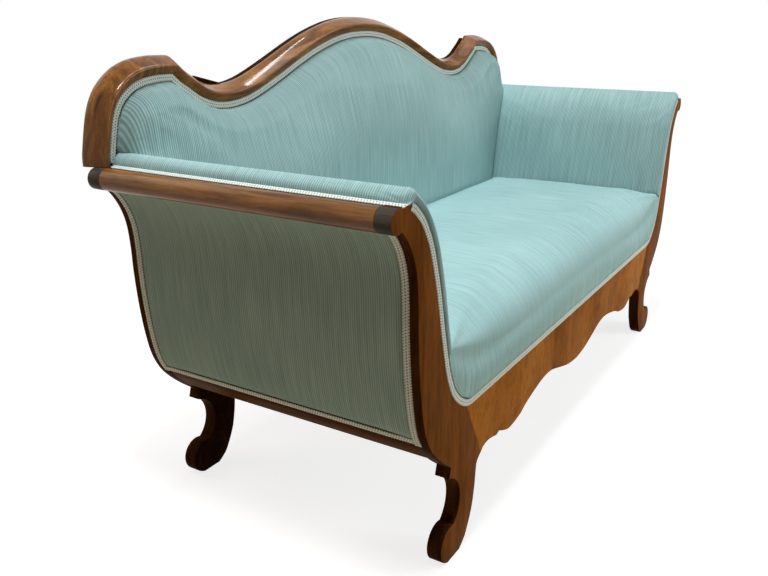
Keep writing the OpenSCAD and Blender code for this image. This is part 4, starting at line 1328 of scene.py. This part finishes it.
    def back(self) -> None:
        """Builds the back padding between frame, arms and seat."""
        s = self.sizes
        half = self.profiles.pad_line
        rising = half[::-1]
        edge_x = float(half[half[:, 1] > self.arm_top(half[:, 0]) + 7][0, 0])
        columns, rows = ((151, 51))
        share = np.linspace(-1, 1, columns)
        flat = share * (1 - self.middle_share * (1 - share**2))
        xs = np.sign(flat) * (1 - (1 - np.abs(flat)) ** self.side_power) * edge_x
        top = np.interp(np.abs(xs), rising[:, 0], rising[:, 1])
        beside_seat = np.maximum(s.pad_z, self.profiles.wall_z(np.abs(xs)) + s.gap)
        low = np.where(np.abs(xs) < s.seat_half - s.gap, beside_seat, self.arm_top(xs))
        v = 1 - (1 - np.linspace(0, 1, rows)) ** self.rise_power
        x = np.repeat(xs[:, None], rows, axis=1)
        z = low[:, None] + (top - low)[:, None] * v[None, :]
        d, nx, nz = self.border(x, z)
        fall = np.clip((top[:, None] - z) / self.rise_len, 0, 1)
        depth = s.back_roll * quarter(d / self.roll_len) + self.back_arch(x) * np.sin(fall * math.pi / 2)
        pull = np.clip(1 - d / self.pull_len, 0, 1) ** 2
        wave = np.sin((x * nz - z * nx) / self.wave_pitch) * np.clip(1 - d / self.wave_len, 0, 1)
        wave = wave * np.clip(d / self.wave_start, 0, 1)
        front = np.stack([x, self.pad_front - depth + wave * self.wave_high, z], axis=2)
        rear_y = s.post_depth - self.back_play
        rear = [upright(np.stack([xs, height], axis=1), rear_y)[:, None] for height in (top, low)]
        rings = np.concatenate([front, *rear], axis=1)
        count = rows + 2
        pulled = np.stack([x - self.pull_side * nx * pull, z + self.pull_up * pull], axis=2)
        uv = np.concatenate([pulled, rings[:, rows:, ::2]], axis=1).reshape(-1, 2)
        obj = build_mesh("back_pad_cloth", rings.reshape(-1, 3), tube_faces(columns, count), uv)
        held = np.zeros((columns, count), bool)
        held[:, rows - 1:] = True
        held[:, 0] = True
        held[[0, -1]] = True
        # The back wears the copy of the cloth with painted shade.
        self.finish(obj, "back_pad", held.ravel(), 0.75, "back_cloth")

    # Arms

    def crown_points(self) -> Line:
        """The crown of the arm padding over the roll, from its braid inwards."""
        s = self.sizes
        return np.array([(s.half - across * s.roll_r, s.arm_h + s.gap + up * s.arm_crown)
                         for across, up in self.crown_shares])

    def arm_lines(self) -> tuple[Line, Line]:
        """The shown and the hidden side of the arm padding between the posts.

        Returns:
            Both lines in x and z from the roll down, with as many points.
        """
        s = self.sizes
        face = shifted(self.profiles.arm_line, s.gimp_w + s.arm_pad_t)
        keep = face[:, 0] < self.crown_points()[-1, 0] - 3
        crown = curve(self.crown_points(), 4)
        seat_x = s.seat_half + s.gap
        fall = np.vstack([crown[-1:], face[keep], [(seat_x, s.pad_z + 60), (seat_x, s.pad_z)]])
        shown = np.vstack([crown, curve(resampled(fall, 26.0), 5)[1:]])
        hidden = np.vstack([
            [(s.braid_x, s.arm_h + s.gap)],
            shifted(self.profiles.arm_line, s.gimp_w + s.gap)[1:],
            [(seat_x + self.tail, s.pad_z + 75), (seat_x + self.tail, s.pad_z)]])
        along = lengths(shown)
        return shown, along_line(along / along[-1] * lengths(hidden)[-1], hidden)

    def stations(self) -> list[tuple[float, float]]:
        """Depths of the arm padding's sections, and how far each is drawn in at the rounded front."""
        s = self.sizes
        turns = [math.pi / 2 * (1 - k / 6) for k in range(7)]
        rounded = [(-s.front_proud + self.arm_radius * (1 - math.sin(turn)),
                    self.arm_radius * (1 - math.cos(turn))) for turn in turns]
        between = np.linspace(35, s.lip_y - 3.0, 50)
        return rounded + [(float(y), 0.0) for y in (*self.beside_post, *between)]

    def lifted(self, line: Line, foot: float, bend: float) -> np.ndarray:
        """Draws up the part of a section below a bend until it ends at a foot.

        Args:
            line: The section, changed in place.
            foot: Height where it is to end.
            bend: Height over which it stays.

        Returns:
            True for each point that moved.
        """
        low = line[:, 1] < bend
        pad_z = self.sizes.pad_z
        line[low, 1] = foot + (bend - foot) * (line[low, 1] - pad_z) / (bend - pad_z)
        return low

    def front_foot(self, shown: Line, hidden: Line, y: float) -> None:
        """Ends a section above the seat, where it stands beside a front post.

        Args:
            shown: Its shown side, changed in place.
            hidden: Its hidden side, changed in place.
            y: Its depth.
        """
        s = self.sizes
        seat_level = float(self.seat_top(np.array(s.seat_half), np.array(y), np.array(self.edge_roll)))
        bend = s.line_z + self.arm_bend_share * (s.roll_z - s.line_z)
        foot = seat_level + self.arm_foot_over - self.foot_fall
        foot -= self.foot_rear_fall * float(smooth(np.array(self.past_corner(y))))
        falling = shown[shown[:, 1] < bend + 40][::-1].copy()
        low = self.lifted(hidden, foot, bend)
        hidden[low, 0] = self.profiles.wall_x(hidden[low, 1])
        low = self.lifted(shown, foot, bend)
        z = shown[low, 1]
        wall = self.profiles.wall_x(z)
        full = 0.8 + 0.2 * smooth((z - foot) / (0.75 * (bend - foot)))
        drawn = wall - (wall - np.interp(z, falling[:, 1], falling[:, 0])) * full
        rise = np.clip(1 - (seat_level - z) / self.edge_fall, 0, 1)
        rounding = self.edge_roll * (1 - np.sqrt(1 - rise**2))
        seat_side = self.seat_side(np.full(len(z), y), z) - rounding
        shown[low, 0] = np.maximum(drawn, np.minimum(seat_side + s.gap, wall - 1.0))

    def rear_foot(self, shown: Line, hidden: Line) -> None:
        """Narrows a section to a wedge, where it stands beside a rear post.

        Args:
            shown: Its shown side, changed in place.
            hidden: Its hidden side, changed in place.
        """
        foot = float(self.profiles.wall_z(np.array(self.sizes.seat_half + 3.3)))
        for line in (shown, hidden):
            self.lifted(line, foot, foot + self.rear_bend)
        over_roll = hidden[:, 1] > 700
        hidden[:, 0] = np.minimum(hidden[:, 0], self.profiles.wall_x(hidden[:, 1]) + over_roll * 50)

    def arm(self, side: Side) -> None:
        """Builds the padding of one end, over the roll and down to the seat."""
        s = self.sizes
        inner, behind = self.arm_lines()
        along = lengths(inner)
        thick = np.linalg.norm(behind - inner, axis=1)
        toward = (behind - inner) / np.maximum(thick, 1e-6)[:, None]
        rings, uvs = [], []
        stations = self.stations()
        for y, drawn_in in stations:
            shown = inner + toward * np.minimum(drawn_in, thick * 0.8)[:, None]
            hidden = behind.copy()
            if y < s.post_t + 0.2:
                self.front_foot(shown, hidden, y)
            elif y > s.rear_y - 0.2:
                self.rear_foot(shown, hidden)
            rings.append(upright(np.vstack([shown, hidden[::-1]]), y, side))
            uv = np.stack([np.full(len(along), y - drawn_in), along], axis=1)
            uvs += [uv, uv[::-1]]
        count = len(inner)
        total = 2 * count
        points = np.vstack(rings)
        faces = grid_faces(len(rings), total, closed=True)
        for first in (0, len(points) - total):
            last = first + total - 1
            faces += [(first + i, first + i + 1, last - 1 - i, last - i) for i in range(count - 1)]
        obj = build_mesh(f"arm_pad_{side.word}_cloth", points, faces, np.vstack(uvs))
        low_front = (points[:, 1] < s.post_t + 12) & (points[:, 2] < s.seat_h - 6)
        held = low_front.reshape(len(rings), total)
        held[:, count - 3:] = True
        held[:, 0] = True
        held[[0, -1]] = True
        self.finish(obj, f"arm_pad_{side.word}", held.ravel(), 0.8, "cloth", self.arm_kept)


@dataclass
class Covers(Maker):
    """Tight cloth over the outsides of the ends and the back, and under the seat."""

    arm_dip: float = 1.2
    ease_len: float = 60.0
    back_swell: float = 0.2
    back_grid: tuple[int, int] = (90, 50)
    board_z: float = 760.0
    board_step: float = 22.0
    upright_in: float = 30.0
    sag: float = 5.0
    sag_len: float = 240.0

    def build(self) -> None:
        """Builds every cover."""
        for side in Side:
            self.outside_arm(side)
        self.outside_back()
        self.under_seat()

    def skin(self, name: str, front: np.ndarray, back: np.ndarray, uv: np.ndarray) -> bpy.types.Object:
        """Makes a thin closed cloth from two grids of points.

        Args:
            name: The piece's name.
            front: Grid of points of the shown face.
            back: Grid of points behind it.
            uv: Cloth coordinates of the grid, in millimetres.

        Returns:
            The piece.
        """
        rows, columns, _ = front.shape
        size = rows * columns
        shown = grid_faces(rows, columns)
        faces = shown + [tuple(size + i for i in reversed(face)) for face in shown]
        rim = [row * columns + column for row, column in rim_of(rows, columns)]
        faces += [(there, here, size + here, size + there) for here, there in zip(rim, rim[1:] + rim[:1])]
        points = np.vstack([front.reshape(-1, 3), back.reshape(-1, 3)])
        return build_mesh(name, points, faces, np.vstack([uv.reshape(-1, 2)] * 2))

    def solid_box(self, node: str) -> tuple[np.ndarray, np.ndarray]:
        """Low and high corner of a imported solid, in millimetres from the front posts."""
        low, high = (np.array(corner) / MM + [0, self.sizes.mid_y, 0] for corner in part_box(node))
        return low, high

    def outside_arm(self, side: Side) -> None:
        """Stretches the cloth over the outside of one end."""
        s = self.sizes
        top, bottom = s.roll_z - s.roll_r * 0.95, s.line_z - s.gimp_w * 0.1
        line = resampled(stretch(self.profiles.outer_line, top, bottom), 12.0)
        out = -mitres(line)
        along = lengths(line)
        ys = np.linspace(s.post_t + s.gap, s.rear_y - s.gap, 60)
        dips = -self.arm_dip * smooth(np.minimum(ys - ys[0], ys[-1] - ys) / self.ease_len)
        front = np.array([upright(line + out * dip, y, side) for y, dip in zip(ys, dips)])
        back = np.array([upright(line - out * (s.cover_t * 0.7), y, side) for y in ys])
        uv = np.array([np.stack([np.full(len(line), y), along], axis=1) for y in ys])
        obj = self.skin(f"outside_arm_{side.word}_cloth", front, back, uv)
        # The outside of the end wears the copy of the cloth with painted warm shade.
        dress(obj, self.palette["end_cloth"])
        stand_for(obj, f"outside_arm_cover_{side.word}")

    def outside_back(self) -> None:
        """Stretches the cloth over the boards of the back."""
        low, high = self.solid_box("outside_back_cover")
        columns, rows = self.back_grid
        inner_x, outer_x = self.sizes.seat_half - self.upright_in, float(high[0])
        heights = [float(low[2]), self.board_z + self.board_step / 2, self.board_z + 2 * self.board_step,
                   float(high[2])]
        zs = np.linspace(heights[0], heights[-1], rows)
        half = np.interp(zs, heights, [inner_x, outer_x, outer_x, inner_x])
        u = np.linspace(-1, 1, columns)
        x = half[:, None] * u[None, :]
        z = np.repeat(zs[:, None], columns, axis=1)
        tall = zs[-1] - zs[0]
        from_end = np.minimum((z - zs[0]) / tall, (zs[-1] - z) / tall) * 2
        ease = smooth(np.minimum(1 - np.abs(u)[None, :], from_end) * 6)
        front = np.stack([x, float(high[1]) + self.back_swell * ease, z], axis=2)
        back = np.stack([x, np.full(x.shape, float(low[1])), z], axis=2)
        obj = self.skin("outside_back_cloth", front, back, np.stack([x, z], axis=2))
        dress(obj, self.palette["cloth"])
        stand_for(obj, "outside_back_cover")

    def under_seat(self) -> None:
        """Tacks the dust cloth under the seat, with a slight sag."""
        low, high = self.solid_box("dust_cover")
        xs = np.linspace(low[0], high[0], 70)
        ys = np.linspace(low[1], high[1], 40)
        x, y = np.meshgrid(xs, ys)
        edge = np.minimum(np.minimum(x - low[0], high[0] - x), np.minimum(y - low[1], high[1] - y))
        z = low[2] - self.sag * smooth(edge / self.sag_len)
        front = np.stack([x, y, z], axis=2)
        back = np.stack([x, y, z + (high[2] - low[2])], axis=2)
        obj = self.skin("dust_cover_cloth", front, back, np.stack([x, y], axis=2))
        dress(obj, self.palette["black"])
        stand_for(obj, "dust_cover")


Strip = tuple[np.ndarray, np.ndarray, list]


@dataclass
class Braid(Maker):
    """Woven braid that covers the tacks along every edge of the cloth."""

    half_shares: tuple[float, ...] = (0.2, 0.42, 0.62, 0.8, 0.93, 1.0)
    tilt: float = math.radians(9.0)
    wave: float = 0.7
    dome_power: float = 0.35
    cord_high: float = 0.35
    cord_at: float = 0.72
    cord_wide: float = 0.18
    groove_deep: float = 0.35
    groove_wide: float = 0.22
    slant: float = 2.6

    @property
    def spacing(self) -> float:
        """Distance between the rows of a strip."""
        return 1.1

    def strip(self, path: np.ndarray, across: np.ndarray, up: np.ndarray) -> Strip:
        """Weaves a strip along a path.

        Args:
            path: Middle of the strip's underside, even distances apart.
            across: Unit vectors across it, one a point.
            up: Unit vectors away from what it lies on, one a point.

        Returns:
            Points, cloth coordinates and faces.
        """
        s = self.sizes
        half = np.array(self.half_shares)
        shares = np.concatenate([-half[::-1], [0.0], half])
        along = lengths(path)
        turn = 2 * math.pi * along / BraidFinish.loop_mm
        dome = np.clip(1 - shares**2, 0, 1) ** self.dome_power
        cords = self.cord_high * np.exp(-(((np.abs(shares) - self.cord_at) / self.cord_wide) ** 2))
        groove = self.groove_deep * np.exp(-((shares / self.groove_wide) ** 2))
        twist = np.sin(turn[:, None] + self.slant * shares[None, :])
        height = 0.35 * s.gimp_t + 0.42 * s.gimp_t * dome[None, :]
        height = height + cords[None, :] * (0.55 + 0.45 * twist)
        height -= groove[None, :] * (0.5 + 0.5 * np.sin(turn[:, None]))
        height = np.minimum(height, s.gimp_t)
        height[:, [0, -1]] = 0.0
        width = s.gimp_w / 2 - self.wave + self.wave * np.sin(turn)
        offset = shares[None, :] * width[:, None]
        top = path[:, None, :] + across[:, None, :] * offset[:, :, None]
        top = top + up[:, None, :] * height[:, :, None]
        rows, columns = offset.shape
        uv = np.stack([np.repeat(along[:, None], columns, axis=1), offset], axis=2).reshape(-1, 2)
        return top.reshape(-1, 3), uv, tube_faces(rows, columns)

    def on_plane(self, line: Line, y: float) -> Strip:
        """Lays a strip on an upright face that looks to the front.

        Args:
            line: Middle line of the strip, in x and z.
            y: Depth of the face.

        Returns:
            The strip.
        """
        even = resampled(line, self.spacing)
        up = np.tile([0.0, -1.0, 0.0], (len(even), 1))
        return self.strip(upright(even, y), upright(mitres(even), 0.0), up)

    def down_end(self, line: Line, side: Side, y: float) -> Strip:
        """Lays a strip down the curved outside of an end.

        Args:
            line: The end's outer line under the strip.
            side: The end that it is for.
            y: The strip's depth.

        Returns:
            The strip.
        """
        even = resampled(line, self.spacing)
        out = -mitres(even)
        up = upright(out / np.linalg.norm(out, axis=1)[:, None], 0.0, side)
        across = np.tile([0.0, 1.0, 0.0], (len(even), 1))
        return self.strip(upright(even, y, side) + up * self.sizes.gap * 0.3, across, up)

    def across_end(self, line: Line, side: Side) -> Strip:
        """Lays a strip across the foot of an end, between its posts.

        Args:
            line: The end's outer line under the strip.
            side: The end that it is for.

        Returns:
            The strip.
        """
        s = self.sizes
        middle = len(line) // 2
        at, out = line[middle], -mitres(line)[middle]
        out /= np.linalg.norm(out)
        flip = np.array([side.value, 1.0, 1.0])
        ys = np.arange(s.post_t, s.rear_y, self.spacing)
        path = np.stack([np.full(len(ys), at[0]), ys, np.full(len(ys), at[1])], axis=1) * flip
        across = np.tile(np.array([-out[1], 0.0, out[0]]) * flip, (len(ys), 1))
        up = np.tile(np.array([out[0], 0.0, out[1]]) * flip, (len(ys), 1))
        return self.strip(path + up * s.gap * 0.3, across, up)

    def along_roll(self, side: Side) -> Strip:
        """Lays a strip along the roll on top of an end."""
        s = self.sizes
        x = s.braid_x + s.gap + s.gimp_w / 2
        ys = np.arange(-2.0, s.frame_y - s.frame_swell - s.gap, self.spacing)
        count = len(ys)
        path = np.stack([np.full(count, x * side.value), ys, np.full(count, s.arm_h - 0.6)], axis=1)
        across = np.tile([math.cos(self.tilt) * side.value, 0.0, -math.sin(self.tilt)], (count, 1))
        up = np.tile([math.sin(self.tilt) * side.value, 0.0, math.cos(self.tilt)], (count, 1))
        return self.strip(path, across, up)

    def join(self, name: str, node: str, *parts: Strip) -> None:
        """Makes one piece of several strips and places it.

        Args:
            name: The piece's name.
            node: The solid that it stands for.
            parts: The strips.
        """
        faces, start = [], 0
        for points, _, strip_faces in parts:
            faces += [tuple(start + i for i in face) for face in strip_faces]
            start += len(points)
        points = np.vstack([part[0] for part in parts])
        obj = build_mesh(name, points, faces, np.vstack([part[1] for part in parts]))
        dress(obj, self.palette["braid"])
        stand_for(obj, node)

    def build(self) -> None:
        """Lays the braid on the front, the back, the rolls and the ends."""
        s = self.sizes
        front = self.profiles.front_line
        whole = np.vstack([front, mirrored(front)])
        self.join("front_braid", "gimp_front", self.on_plane(shifted(whole, s.gimp_w / 2), -0.1))
        back = self.profiles.back_line
        back = back[back[:, 1] > s.arm_h + s.gimp_t]
        self.join("back_braid", "gimp_back", self.on_plane(shifted(back, -s.gimp_w / 2), s.lip_y - 0.1))
        outer = self.profiles.outer_line
        down = stretch(outer, s.roll_z - s.roll_r, s.line_z - s.gimp_w * 1.1)
        foot = resampled(stretch(outer, s.line_z, s.line_z - s.gimp_w * 1.1), 3.0)
        for side in Side:
            self.join(f"arm_braid_{side.word}", f"gimp_arm_{side.word}", self.along_roll(side))
            self.join(f"end_braid_{side.word}", f"gimp_end_{side.word}",
                      self.down_end(down, side, s.post_t - s.gimp_w / 2),
                      self.down_end(down, side, s.rear_y + s.gimp_w / 2),
                      self.across_end(foot, side))


class Carcase(Maker):
    """The hidden rails, boards, springs and straps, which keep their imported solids."""

    FINISHES = {
        "beech": ("arm_rail_left", "arm_rail_right", "arm_base_rail_left", "arm_base_rail_right",
                  "rear_rail", "corner_blocks", "web_battens", "frame_dowels", "back_top_board",
                  "back_uprights", "back_bottom_board"),
        "jute": ("seat_webbing", "seat_hessian", "back_webbing", "back_hessian", "arm_hessian_left",
                 "arm_hessian_right"),
        "steel": ("seat_springs", "back_screws"),
        "dark": ("crest_backing",),
    }

    def build(self) -> None:
        """Gives each hidden solid its finish."""
        for finish, names in self.FINISHES.items():
            for name in names:
                dress(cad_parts[name], self.palette[finish])


# Studio


@dataclass
class Studio:
    """Camera, lights, floor and a white background."""

    azimuth: float = -58.3959
    elevation: float = 17.6680
    tilt: float = -0.2781
    place_m: Colour = (-1.9064, -0.6014, 1.0238)
    focal_px: float = 813.0363
    centre_px: tuple[float, float] = (388.3788, 268.3983)
    picture_px: tuple[int, int] = (768, 576)
    sensor_mm: float = 36.0
    floor_half_m: float = 14.0
    floor_colour: Colour = (0.66, 0.54, 0.40)
    surround_colour: Colour = (1.0, 0.78, 0.58)

    def build(self) -> None:
        """Sets the studio up."""
        self.camera()
        self.lights()
        self.floor()
        self.world()
        bpy.context.scene.view_settings.view_transform = "Standard"

    def camera(self) -> None:
        """Puts the camera where the photograph was taken from."""
        az, el, roll = (math.radians(angle) for angle in (self.azimuth, self.elevation, self.tilt))
        back = Vector((math.sin(az) * math.cos(el), -math.cos(az) * math.cos(el), math.sin(el)))
        forward = -back
        right = forward.cross(Vector((0, 0, 1))).normalized()
        up = right.cross(forward)
        r = right * math.cos(roll) + up * math.sin(roll)
        u = up * math.cos(roll) - right * math.sin(roll)
        width, height = self.picture_px
        data = bpy.data.cameras.new("camera")
        data.sensor_width = self.sensor_mm
        data.lens = self.focal_px * self.sensor_mm / width
        data.shift_x = (width / 2 - self.centre_px[0]) / width
        data.shift_y = (self.centre_px[1] - height / 2) / width
        data.clip_start = 0.05
        obj = put("camera", data)
        eye = Vector(self.place_m) - Vector((0, SIZES.mid_y * MM, 0))
        obj.matrix_world = Matrix((*zip(r, u, back, eye), (0, 0, 0, 1)))
        bpy.context.scene.camera = obj

    def lamp(self, name: str, spot: Colour, aim: Colour, size: float, watts: float,
             colour: Colour = (1.0, 1.0, 1.0), breadth: float = 0.0, turn: float = 0.0) -> None:
        """Hangs a soft light.

        Args:
            name: The light's name.
            spot: Where it hangs.
            aim: What it points at.
            size: Its width in metres.
            watts: Its strength.
            colour: Its colour.
            breadth: Its height in metres where it is a strip, or 0 for a square.
            turn: How far it is turned about the way it points, in degrees.
        """
        data = bpy.data.lights.new(name, "AREA")
        data.size = size
        if breadth:
            data.shape = "RECTANGLE"
            data.size_y = breadth
        data.energy = watts
        data.color = colour
        obj = put(name, data)
        obj.location = spot
        way = (Vector(aim) - Vector(spot)).to_track_quat("-Z", "Y")
        obj.rotation_euler = (way @ Quaternion((0.0, 0.0, 1.0), math.radians(turn))).to_euler()

    def lights(self) -> None:
        """Hangs a soft light and a long strip over the seat, and one at each of three sides."""
        self.lamp("over", (0.8, -0.15, 2.9), (0.3, 0.0, 0.45), 1.2, 14.0)
        self.lamp("strip", (-0.3, 0.25, 2.9), (-0.3, 0.249, 0.0), 2.6, 17.0, breadth=0.06, turn=22.6)
        self.lamp("side", (-1.35, -0.35, 3.3), (-0.7, 0.0, 0.7), 0.45, 42.0)
        self.lamp("front", (1.6, -3.1, 1.2), (0.05, 0.0, 0.45), 1.6, 52.0, (0.97, 1.0, 1.0))
        self.lamp("rear", (-1.2, 2.6, 2.4), (0.0, 0.3, 0.8), 2.2, 22.0, (1.0, 0.88, 0.72))

    def floor(self) -> None:
        """Lays a plain pale floor that is seen as white and keeps the settee's shadow."""
        mesh = bpy.data.meshes.new("floor")
        half = self.floor_half_m
        around = ((-half, -half), (half, -half), (half, half), (-half, half))
        mesh.from_pydata([(x, y, -0.0004) for x, y in around], [], [(0, 1, 2, 3)])
        obj = put("floor", mesh)
        n = Surface("floor")
        n.set(Base_Color=(*self.floor_colour, 1.0), Roughness=0.9, Specular_IOR_Level=0.0)
        lit = n.add("ShaderNodeBsdfDiffuse", in_Color=(0.50, 0.50, 0.50, 1.0))
        glow = n.add("ShaderNodeEmission", in_Strength=0.80)
        both = n.add("ShaderNodeAddShader")
        n.feed(both, 0, lit.outputs[0])
        n.feed(both, 1, glow.outputs[0])
        reach = n.add("ShaderNodeVectorMath", operation="LENGTH",
                      in_Vector=n.object_place()).outputs["Value"]
        fade = n.add("ShaderNodeMapRange", interpolation_type="SMOOTHSTEP", in_Value=reach,
                     in_From_Min=1.0, in_From_Max=1.7).outputs["Result"]
        seen = n.shaders(fade, both, n.add("ShaderNodeEmission", in_Strength=1.0))
        final = n.shaders(n.white_rays(), n.shader, seen)
        n.feed(n.out, "Surface", final.outputs[0])
        dress(obj, n.material)

    def world(self) -> None:
        """Gives the camera a white background, and the settee a weak soft surround."""
        world = bpy.data.worlds.new("surround")
        bpy.context.scene.world = world
        world.use_nodes = True
        n = Nodes(world.node_tree)
        soft = n.add("ShaderNodeBackground", in_Color=(*self.surround_colour, 1.0), in_Strength=0.05)
        white = n.add("ShaderNodeBackground", in_Color=(1.0, 1.0, 1.0, 1.0), in_Strength=1.0)
        mix = n.shaders(n.white_rays(), soft, white)
        n.add("ShaderNodeOutputWorld", in_Surface=mix.outputs[0])


def main() -> None:
    """Builds the settee."""
    logging.basicConfig(level=logging.INFO, format="%(message)s")
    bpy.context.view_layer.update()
    palette = Palette()
    makers = (Carcase, ShowWood, BackFrame, Padding, Covers, Braid)
    for part in (*(maker(palette) for maker in makers), Studio()):
        part.build()
        LOG.info("%s done", type(part).__name__)


if __name__ == "__main__":
    main()
